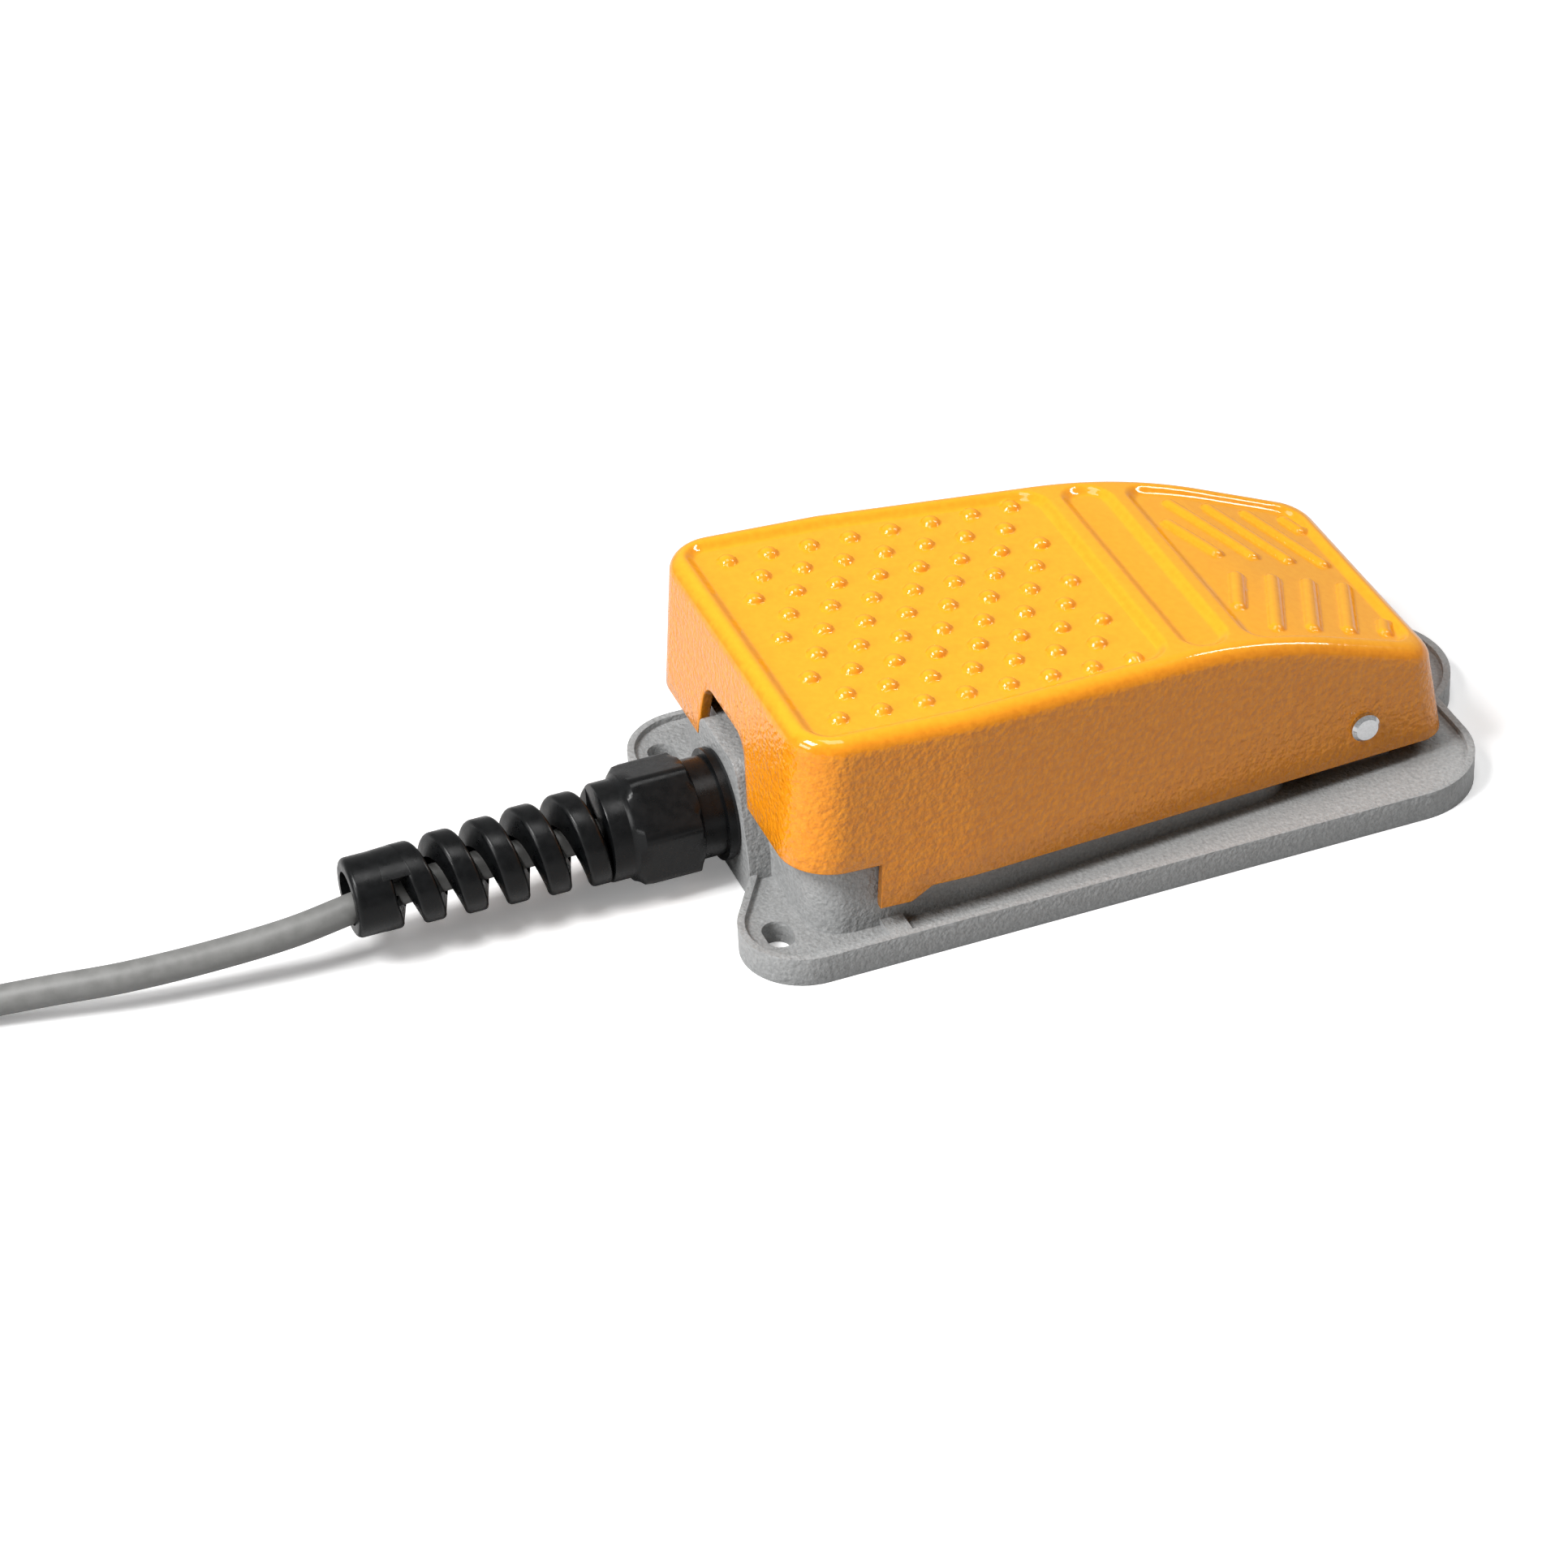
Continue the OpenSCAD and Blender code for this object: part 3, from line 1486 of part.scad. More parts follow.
// Tie round the coil
module cord_tie() {
    loose = 0.3;
    half = 2 * cord_d + loose;
    color("#1f2022")
        translate([coil_x - tie_w / 2, coil_y - coil_r, 0])
            difference() {
                translate([0, -half - tie_t, 0])
                    cube([tie_w, 2 * (half + tie_t), 2 * (cord_d + tie_t)]);
                translate([-lap, -half, tie_t])
                    cube([tie_w + 2 * lap, 2 * half, 2 * cord_d]);
            }
}

// Children along +Z turn to lie along the plug's axis, from the end of the cord
module on_plug(z) {
    translate(tail_route[len(tail_route) - 1])
        rotate([90, 0, 0])
            translate([0, 0, z])
                children();
}

// Grip of the plug with its tapered strain relief
module plug_grip() {
    r = grip_d / 2;
    edge = 0.8;
    relief_r = cord_d / 2 + 0.5;
    color("#232425")
        on_plug(0)
            rotate_extrude()
                polygon([
                    [0, 0], [relief_r, 0], [r - edge, relief_l - edge], [r, relief_l],
                    [r, relief_l + grip_l - edge], [r - edge, relief_l + grip_l], [0, relief_l + grip_l],
                ]);
}

// Tube-shaped contact of the plug
module jack_tube(z, l) {
    on_plug(z)
        difference() {
            cylinder(d = jack_d, h = l);
            translate([0, 0, -lap])
                cylinder(d = jack_tube_d + 2 * snug, h = l + 2 * lap);
        }
}

// Rear contact of the plug
module plug_sleeve() {
    color("#c9cbcc")
        jack_tube(jack_z, sleeve_l);
}

// Middle contact of the plug
module plug_ring() {
    color("#c9cbcc")
        jack_tube(jack_z + sleeve_l + collar_l, jack_ring_l);
}

// Front contact of the plug, on a rod that runs back to the grip
module plug_tip() {
    r = jack_d / 2;
    neck_r = r - 0.5;
    z = jack_l - tip_l;
    color("#c9cbcc")
        on_plug(jack_z)
            rotate_extrude()
                polygon([
                    [0, 0], [jack_rod_d / 2, 0], [jack_rod_d / 2, z], [r, z], [r, z + 0.6], [neck_r, z + 1.4],
                    [r, z + 2.2], [r, z + 2.8], [0.6, jack_l], [0, jack_l],
                ]);
}

// Collars between the contacts, each with a tube inside the contact behind it
module plug_insulators() {
    inset = 0.1;
    color("#17181a")
        for (at = [[0, sleeve_l], [sleeve_l + collar_l, jack_ring_l]])
            on_plug(jack_z + at[0])
                difference() {
                    union() {
                        cylinder(d = jack_tube_d, h = at[1] + collar_l);
                        translate([0, 0, at[1]])
                            cylinder(d = jack_d - 2 * inset, h = collar_l);
                    }
                    translate([0, 0, -lap])
                        cylinder(d = jack_rod_d + 2 * snug, h = far);
                }
}

base_casting();
anti_slip_pads();
pedal_casting();
pivot_pin();
pivot_bushes();
return_springs();
switch_bracket();
bracket_screws();
switch_case();
switch_cover();
switch_screws();
switch_nuts();
switch_plunger();
contact_blade();
terminal_common();
terminal_open();
terminal_closed();
switch_lever();
lever_pin();
lever_roller();
roller_pin();
pusher_screw();
pusher_locknut();
earth_screw();
gland_body();
gland_washer();
gland_locknut();
gland_seal();
gland_nut();
core_wire_common();
core_wire_open();
cord_tube();
cord_coil();
cord_tail();
cord_tie();
plug_grip();
plug_sleeve();
plug_ring();
plug_tip();
plug_insulators();
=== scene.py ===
import math
import bmesh
import bpy
import numpy as np
from mathutils import Matrix, Vector


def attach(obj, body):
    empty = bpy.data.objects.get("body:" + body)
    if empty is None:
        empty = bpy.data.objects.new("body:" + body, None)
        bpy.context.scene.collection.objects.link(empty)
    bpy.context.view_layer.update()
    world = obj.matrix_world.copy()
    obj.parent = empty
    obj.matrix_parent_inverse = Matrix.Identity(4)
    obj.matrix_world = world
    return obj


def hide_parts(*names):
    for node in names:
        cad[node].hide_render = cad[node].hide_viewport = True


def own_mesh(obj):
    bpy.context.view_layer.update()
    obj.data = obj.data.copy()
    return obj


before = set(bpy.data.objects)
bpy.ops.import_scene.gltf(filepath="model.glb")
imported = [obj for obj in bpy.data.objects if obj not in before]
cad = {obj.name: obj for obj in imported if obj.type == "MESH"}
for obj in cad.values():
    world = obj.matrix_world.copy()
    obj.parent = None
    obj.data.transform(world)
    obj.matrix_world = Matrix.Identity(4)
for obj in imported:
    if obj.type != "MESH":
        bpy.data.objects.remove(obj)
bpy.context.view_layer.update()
mm = 0.001
weld = 0.0001 * mm  # points nearer than this are merged
tau = 2 * math.pi


# a colour as written in sRGB, each channel taken through the sRGB curve to linear light
def linear(colour):
    level = np.array([int(colour[i:i + 2], 16) for i in (1, 3, 5)]) / 255
    curve = np.where(level <= 0.04045, level / 12.92, ((level + 0.055) / 1.055) ** 2.4)
    return (*curve.tolist(), 1.0)


# adds a node: settings go to its sockets or attributes, links are (node, output)
def addNode(tree, kind, settings=None, links=None):
    node = tree.nodes.new(kind)
    for key, value in (settings or {}).items():
        if isinstance(key, int) or key in node.inputs:
            node.inputs[key].default_value = value
        else:
            setattr(node, key, value)
    for key, (source, output) in (links or {}).items():
        tree.links.new(source.outputs[output], node.inputs[key])
    return node


# quads of a grid of rows by columns, closed round where asked
def gridFaces(rows, columns, roundRows=False, roundColumns=False):
    i, j = np.meshgrid(
        np.arange(rows - (not roundRows)), np.arange(columns - (not roundColumns)), indexing="ij"
    )
    here, below, beside = i * columns, (i + 1) % rows * columns, (j + 1) % columns
    return np.stack([here + j, here + beside, below + beside, below + j], -1).reshape(-1, 4)


# quads of rings closed round, with a flat cap on each end
def cappedFaces(rings, sides):
    last = (rings - 1) * sides
    caps = [list(range(sides)), list(range(last, last + sides))]
    return gridFaces(rings, sides, roundColumns=True).tolist() + caps


# joins shapes, each (points, faces), into one list of points and one of faces
def joined(shapes):
    points, faces, start = [], [], 0
    for shapePoints, shapeFaces in shapes:
        points.append(np.asarray(shapePoints, float))
        faces += [[int(index) + start for index in face] for face in shapeFaces]
        start += len(shapePoints)
    return np.concatenate(points), faces


# a mesh piece from points in mm, with faces turned outwards and edges sharp past an angle in degrees
def newPiece(name, shapes, body, nodes, sharp=35):
    points, faces = joined(shapes)
    mesh = bpy.data.meshes.new(name)
    mesh.from_pydata(points * mm, [], faces)
    work = bmesh.new()
    work.from_mesh(mesh)
    bmesh.ops.remove_doubles(work, verts=work.verts, dist=weld)
    bmesh.ops.recalc_face_normals(work, faces=work.faces)
    work.to_mesh(mesh)
    work.free()
    mesh.polygons.foreach_set("use_smooth", np.ones(len(mesh.polygons), bool))
    mesh.set_sharp_from_angle(angle=math.radians(sharp))
    piece = bpy.data.objects.new(name, mesh)
    bpy.context.scene.collection.objects.link(piece)
    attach(piece, body)
    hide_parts(*nodes)
    print("made", name, len(mesh.vertices), "points", len(mesh.polygons), "faces")
    return piece


# camera of the photograph, from its azimuth, elevation and roll about the line of sight; the eye in mm
cameraSet = {
    "lens": 108.01, "sensor": 36, "azimuth": 250.896, "elevation": 35.468, "roll": -3.214,
    "eye": (-822.43, 355.92, 637.25), "clip": 20,
}


# the camera's own axes: right and up turned by the roll, and the way back to the eye
def makeCamera():
    a, e, t = (math.radians(cameraSet[k]) for k in ("azimuth", "elevation", "roll"))
    back = Vector((math.sin(a) * math.cos(e), -math.cos(a) * math.cos(e), math.sin(e)))
    right = Vector((math.cos(a), math.sin(a), 0))
    up = back.cross(right)
    axes = [math.cos(t) * right + math.sin(t) * up, math.cos(t) * up - math.sin(t) * right, back]
    data = bpy.data.cameras.new("photoCamera")
    data.lens = cameraSet["lens"]
    data.sensor_width = cameraSet["sensor"]
    data.clip_end = cameraSet["clip"]
    camera = bpy.data.objects.new("photoCamera", data)
    turn = Matrix(axes).transposed().to_4x4()
    camera.matrix_world = Matrix.Translation(Vector(cameraSet["eye"]) * mm) @ turn
    bpy.context.scene.collection.objects.link(camera)
    bpy.context.scene.camera = camera
    print("camera placed")


makeCamera()

# cord: the laid stretch, the coil's two layers of turns, and the tail to the plug
cordSet = {
    "diameter": 7, "sides": 24, "fine": 5, "exitY": 86.3, "exitZ": 16.8,
    "route": [
        (0, 62, 16.8), (0, 90, 16.8), (0, 112, 16.8), (0, 135, 16.75), (-0.1, 150, 16.5), (-0.4, 163, 15.8),
        (-0.9, 175, 14.5), (-0.7, 189, 12.2), (1.5, 207.5, 9.8), (4.2, 225.8, 8.2), (7.9, 241.4, 7),
        (11.5, 257, 5.6), (14, 272, 4.6), (15.3, 288, 4.2), (15.5, 302, 4.3),
    ],
    "coil": {"centre": (66, 306), "outer": 50.5, "inner": 29.5, "lowZ": 4.3, "turns": 3, "rise": 0.25,
             "end": 6.0, "perTurn": 24},
    "tail": [
        (25, 329, 13), (33, 339.5, 14.6), (43, 345.6, 16.6), (54, 346.4, 18), (66, 346, 18.6),
        (78, 345.6, 18.9), (89, 342, 19.2), (98, 334, 19.4), (102.8, 326, 19.5), (104, 319, 19.5),
        (104, 316, 19.5),
    ],
}


# turns of the coil, clockwise from above: inwards on the floor, up one diameter, outwards on top
def coilTurns():
    c = cordSet["coil"]
    n = np.arange(1, round(c["end"] * c["perTurn"]) + 1) / c["perTurn"]
    pitch = cordSet["diameter"]
    top = c["turns"] + c["rise"]
    radius = np.where(n < c["turns"], c["outer"] - pitch * n, c["inner"] + pitch * np.maximum(n - top, 0))
    height = c["lowZ"] + pitch * np.clip((n - c["turns"]) / c["rise"], 0, 1)
    angle = math.pi - tau * n
    return np.stack(
        [c["centre"][0] + radius * np.cos(angle), c["centre"][1] + radius * np.sin(angle), height], 1
    )


# a smooth line through points: each step is a cubic whose slopes come from the neighbours
def smoothLine(points, steps):
    before = np.vstack([2 * points[0] - points[1], points[:-1]])
    after = np.vstack([points[1:], 2 * points[-1] - points[-2]])
    slope = (after - before) / 2
    t = (np.arange(steps) / steps)[None, :, None]
    square, cube = t**2, t**3
    line = (2 * cube - 3 * square + 1) * points[:-1, None] + (cube - 2 * square + t) * slope[:-1, None]
    line = line + (3 * square - 2 * cube) * points[1:, None] + (cube - square) * slope[1:, None]
    return np.vstack([line.reshape(-1, 3), points[-1:]])


# a round tube along a line: rings square to the line, which never runs straight up
def tube(line, radius, sides):
    along = np.gradient(line, axis=0)
    along /= np.linalg.norm(along, axis=1)[:, None]
    across = np.cross(along, (0, 0, 1))
    across /= np.linalg.norm(across, axis=1)[:, None]
    upward = np.cross(across, along)
    angle = (tau * np.arange(sides) / sides)[None, :, None]
    rings = line[:, None] + radius * (np.cos(angle) * across[:, None] + np.sin(angle) * upward[:, None])
    return rings.reshape(-1, 3), cappedFaces(len(line), sides)


cordLine = smoothLine(np.vstack([cordSet["route"], coilTurns(), cordSet["tail"]]), cordSet["fine"])
cordShape = tube(cordLine, cordSet["diameter"] / 2, cordSet["sides"])
cordNodes = ["cord_tube", "cord_coil", "cord_tail"]
cordPiece = newPiece("cord_lead", [cordShape], "base", cordNodes)

# tie: a rubber strap drawn round the coil's turns, thinner at its two edges
tieSet = {"x": 66, "width": 6, "gap": 0.05, "thick": 0.75, "edgeThick": 0.525, "edgeW": 0.3, "steps": 96}


# the strap's line in its plane: for each direction, the turn that lies farthest out and a radius from it
def tieShape():
    s = tieSet
    before, after = cordLine[:-1], cordLine[1:]
    passes = (before[:, 0] - s["x"]) * (after[:, 0] - s["x"]) <= 0
    nearSide = before[:, 1] < cordSet["coil"]["centre"][1]
    a, b = before[passes & nearSide], after[passes & nearSide]
    share = (s["x"] - a[:, 0]) / (b[:, 0] - a[:, 0])
    centres = (a + share[:, None] * (b - a))[:, 1:]
    angle = tau * np.arange(s["steps"]) / s["steps"]
    outwards = np.stack([np.cos(angle), np.sin(angle)], 1)
    farthest = centres[np.argmax(outwards @ centres.T, axis=1)]
    inner = cordSet["diameter"] / 2 + s["gap"]
    edge, top = inner + s["edgeThick"], inner + s["thick"]
    half = s["width"] / 2
    flat = half - s["edgeW"]
    rows = [(-half, inner), (-half, edge), (-flat, top), (flat, top), (half, edge), (half, inner)]
    rings = [np.column_stack([np.full(s["steps"], s["x"] + side), farthest + radius * outwards])
             for side, radius in rows]
    return np.concatenate(rings), gridFaces(len(rows), s["steps"], True, True).tolist()


tiePiece = newPiece("tie_strap", [tieShape()], "base", ["cord_tie"])

# pedal: sizes in mm and degrees, most of them as in the solids, and the spacing of its surface grid
pedalSet = {
    "width": 94.8, "height": 59, "toeY": 83.1, "heelY": -76.4, "taperY": 43.8, "taper": 5.47, "draft": 0.6,
    "toeDraft": 4.6, "heelDraft": 8.5, "treadTilt": 3.43, "heelTilt": 21.8, "bendY": -29.1, "bendR": 130,
    "toeR": 12, "heelR": 8, "edgeR": 4, "skirt": 2.4, "roof": 5, "footZ": 5,
    "pinY": -56.2, "pinZ": 20.1, "press": 2.4, "skirtZ": 10.6, "toeSkirtZ": 19.1,
    "edgeAt": 0.25,  # share of the way from the foot to the top where the lower edge is read
    "lowEdge": 0.5, "lowRound": 0.3,
    "tabFront": 66.1, "tabLength": 7.4, "tabRamp": 4.8, "tabZ": 7.5, "tabStep": 0.0001,
    "notchW": 24.6, "notchZ": 40.8, "notchR": 6, "notchLean": 13.8,
    "notchFine": (0.5, 0.7, 20),  # extra columns beside the notch: from, to in its widths, and how many
    "rim": 5.2, "panelDepth": 1.6, "panelR": 5, "panelWall": 3, "panelIn": 0.1,
    "bumpPitch": 10, "bumpD": 4.8, "bumpH": 1.6, "bumpY": 69.7, "bumpRows": 9, "bumpCount": 8, "foot": 0.16,
    "ridgeY": -10.7, "ridgeW": 5.2, "band": 10.6,
    "ribY": -39.4, "ribPitch": 9.2, "ribSlant": 23.7, "ribIn": 5.5, "ribMargin": 4.4, "ribD": 4.4,
    "ribH": 1.2, "ribs": 5,
    "spacing": 0.5, "cornerSteps": 25, "edgeSteps": 8, "wallRows": 7, "innerRows": 4,
    "slopeStep": 0.01, "topGap": 0.005,
    "pinBossD": 13, "pinBossX": 31.4, "pusherY": 10, "pusherZ": 44.8, "pusherD": 12,
    "springX": 23, "springY": 49.8, "cupD": 20, "cupZ": 48.3, "cupBore": 18.2, "cupRoof": 1.6,
    "cupAxis": 0.01, "lap": 1, "bossSides": 32,
    "stopX": 18, "stopY": -66, "stopZ": 6, "stopT": 3, "stopDepth": 4,
}


# height of the rim: two straight slopes joined by an arc that touches both
def rimZ(y):
    s = pedalSet
    front, rear = math.radians(s["treadTilt"]), math.radians(s["heelTilt"])
    bendZ = s["height"] - (s["toeY"] - s["bendY"]) * math.tan(front)
    half = s["bendR"] * math.tan((rear - front) / 2)
    frontY, rearY = s["bendY"] + half * math.cos(front), s["bendY"] - half * math.cos(rear)
    centreY = frontY + s["bendR"] * math.sin(front)
    centreZ = bendZ + half * math.sin(front) - s["bendR"] * math.cos(front)
    arc = centreZ + np.sqrt(np.maximum(s["bendR"] ** 2 - (y - centreY) ** 2, 0))
    slope = np.where(y > s["bendY"], math.tan(front), math.tan(rear))
    return np.where((y > frontY) | (y < rearY), bendZ + (y - s["bendY"]) * slope, arc)


# half of the width: parallel at the toe, tapering to the heel, leaning in with height
def sideX(y, z):
    s = pedalSet
    taper = np.maximum(0, s["taperY"] - y) * math.tan(math.radians(s["taper"]))
    return s["width"] / 2 - taper - (z - s["skirtZ"]) * math.tan(math.radians(s["draft"]))


# right side of the plan outline by a parameter: 0 to 1 the toe corner's arc, 1 to 2 the
# side, 2 to 3 the heel corner's arc; at the foot (foot 1) or at the top (foot 0)
def sideOutline(t, inset, foot):
    s = pedalSet
    taper = math.radians(s["taper"])

    def level(y):
        return s["footZ"] if foot else rimZ(y)

    toe = s["toeY"] + foot * (s["height"] - s["footZ"]) * math.tan(math.radians(s["toeDraft"]))
    drop = float(rimZ(s["heelY"])) - s["footZ"]
    heel = s["heelY"] - foot * drop * math.tan(math.radians(s["heelDraft"]))
    toeY, heelY = toe - s["toeR"], heel + s["heelR"]
    toeX = sideX(toeY, level(toeY)) - s["toeR"]
    heelX = sideX(heelY, level(heelY)) - s["heelR"] / math.cos(taper)
    toeArc, heelArc = s["toeR"] - inset, s["heelR"] - inset
    toeTurn = math.pi / 2 * (1 - np.clip(t, 0, 1))
    heelTurn = -taper - (math.pi / 2 - taper) * np.clip(t - 2, 0, 1)
    y = toeY + (heelY - heelArc * math.sin(taper) - toeY) * np.clip(t - 1, 0, 1)
    x = sideX(y, level(y)) - inset / np.where(y < s["taperY"], math.cos(taper), 1)
    x = np.where(t > 2, heelX + heelArc * np.cos(heelTurn), x)
    y = np.where(t > 2, heelY + heelArc * np.sin(heelTurn), y)
    x = np.where(t < 1, toeX + toeArc * np.cos(toeTurn), x)
    y = np.where(t < 1, toeY + toeArc * np.sin(toeTurn), y)
    return x, y


# whole outline: right side to the heel, across, left side back, and across the toe
def outlineRing(t, across, inset, foot):
    x, y = sideOutline(t, inset, foot)
    middle = across[1:-1]
    right = np.stack([x, y], 1)
    heel = np.stack([x[-1] * middle[::-1], np.full(len(middle), y[-1])], 1)
    left = np.stack([-x[::-1], y[::-1]], 1)
    toe = np.stack([x[0] * middle, np.full(len(middle), y[0])], 1)
    return np.concatenate([right, heel, left, toe])


# how far a point lies inside a sunk panel: the distance to a rounded box of the pedal's taper
def panelDepthAt(x, y, low, high):
    s = pedalSet
    reach = sideX(y, rimZ(y)) - s["rim"] - s["panelR"]
    overX = np.abs(x) - reach
    overY = np.abs(y - (low + high) / 2) - (high - low) / 2 + s["panelR"]
    outside = np.hypot(np.maximum(overX, 0), np.maximum(overY, 0)) + np.minimum(np.maximum(overX, overY), 0)
    return s["panelR"] - outside


# the larger of a height and zero, with a small hollow fillet between them
def grown(height):
    return (height + np.sqrt(height**2 + pedalSet["foot"] ** 2)) / 2


# top surface: the rim less the panels' smooth steps, plus ball caps and rounded ribs
def topZ(x, y):
    s = pedalSet
    rear = s["ridgeY"] - s["band"] - s["ridgeW"]
    half = s["ridgeW"] / 2
    panels = [(s["ridgeY"] + half, s["toeY"] - s["rim"]), (rear + half, s["ridgeY"] - half),
              (s["heelY"] + s["rim"], rear - half)]
    z = rimZ(y)
    for low, high in panels:
        inside = panelDepthAt(x, y, low, high) + s["panelWall"] / 2 - s["panelIn"]
        share = np.clip(inside / s["panelWall"], 0, 1)
        z = z - s["panelDepth"] * share**2 * (3 - 2 * share)

    # bumps in rows along the pedal, every other row half a step back and one bump shorter
    ball = (s["bumpD"] ** 2 / 4 + s["bumpH"] ** 2) / (2 * s["bumpH"])
    for row in range(s["bumpRows"]):
        bumpX = ((s["bumpRows"] - 1) / 2 - row) * s["bumpPitch"] * math.cos(math.pi / 6)
        shift = row % 2 / 2
        count = s["bumpCount"] - row % 2
        nearest = np.clip(np.round((s["bumpY"] - y) / s["bumpPitch"] - shift), 0, count - 1)
        bumpY = s["bumpY"] - (nearest + shift) * s["bumpPitch"]
        apart = (x - bumpX) ** 2 + (y - bumpY) ** 2
        cap = np.sqrt(np.maximum(ball**2 - apart, 0)) - ball + s["bumpH"]
        z = z + grown(cap) * (apart < ball**2)

    # ribs that slant outwards to the toe, cut off at the panel's edges
    slope = math.tan(math.radians(s["ribSlant"]))
    radius = s["ribD"] / 2
    lowY = s["heelY"] + s["rim"] + radius
    highY = rear - half - s["ribD"]
    rib = np.zeros_like(x)
    for k in range(s["ribs"]):
        startY = s["ribY"] - k * s["ribPitch"]
        startX = max(s["ribIn"], s["ribIn"] + (lowY - startY) / slope)
        edgeX = float(sideX(startY, rimZ(startY))) - s["rim"] - s["ribMargin"]
        endX = min(edgeX, s["ribIn"] + (highY - startY) / slope)
        start = np.array([startX, startY + (startX - s["ribIn"]) * slope])
        run = np.array([endX - startX, (endX - startX) * slope])
        along = np.clip(((np.abs(x) - start[0]) * run[0] + (y - start[1]) * run[1]) / (run @ run), 0, 1)
        apart = (np.abs(x) - start[0] - along * run[0]) ** 2 + (y - start[1] - along * run[1]) ** 2
        cap = np.sqrt(np.maximum(radius**2 - apart, 0)) - radius + s["ribH"]
        rib = np.maximum(rib, grown(cap) * (apart < radius**2))
    return z + rib


# lower edge of the skirt at rest: the line of full travel turned back about the pin,
# with the stop tab, the higher toe skirt and the notch's leaning sides and round corners
def lowerZ(x, y, onToe):
    s = pedalSet
    turn = math.radians(s["press"])
    tabBack = s["tabFront"] - s["tabLength"]
    flat = np.interp(y, [tabBack - s["tabRamp"], tabBack], [s["skirtZ"], s["tabZ"]])
    flat = np.where(y > s["tabFront"], s["toeSkirtZ"], flat)
    z = s["pinZ"] + (flat - s["pinZ"]) / math.cos(turn) + (y - s["pinY"]) * math.tan(turn)
    lean, r = math.radians(s["notchLean"]), s["notchR"]
    centreX, centreZ = s["notchW"] / 2 - r / math.tan(math.pi / 4 + lean / 2), s["notchZ"] - r
    edgeX, edgeZ = centreX + r * math.cos(lean), centreZ + r * math.sin(lean)
    aside = np.abs(x)
    arch = centreZ + np.sqrt(r**2 - np.clip(aside - centreX, 0, r) ** 2)
    notch = np.where(aside > edgeX, edgeZ - (aside - edgeX) / math.tan(lean), arch)
    return np.where(onToe, np.maximum(z, notch), z)


# points of a profile of (radius, along) turned about an axis, ring after ring
def turned(profile, centre, axis, sides):
    profile = np.array(profile, float)[:, :, None, None]
    angle = (tau * np.arange(sides) / sides)[:, None]
    axes = np.eye(3)
    ring = np.cos(angle) * axes[(axis + 1) % 3] + np.sin(angle) * axes[(axis + 2) % 3]
    points = np.array(centre, float) + profile[:, 0] * ring + profile[:, 1] * axes[axis]
    return points.reshape(-1, 3)


# a plain block between two corners
def block(low, high):
    low, high = np.array(low, float), np.array(high, float)
    pick = np.array([[i, j, k] for i in (0, 1) for j in (0, 1) for k in (0, 1)])
    faces = [[0, 1, 3, 2], [4, 6, 7, 5], [0, 4, 5, 1], [2, 3, 7, 6], [0, 2, 6, 4], [1, 5, 7, 3]]
    return np.where(pick, high, low), faces


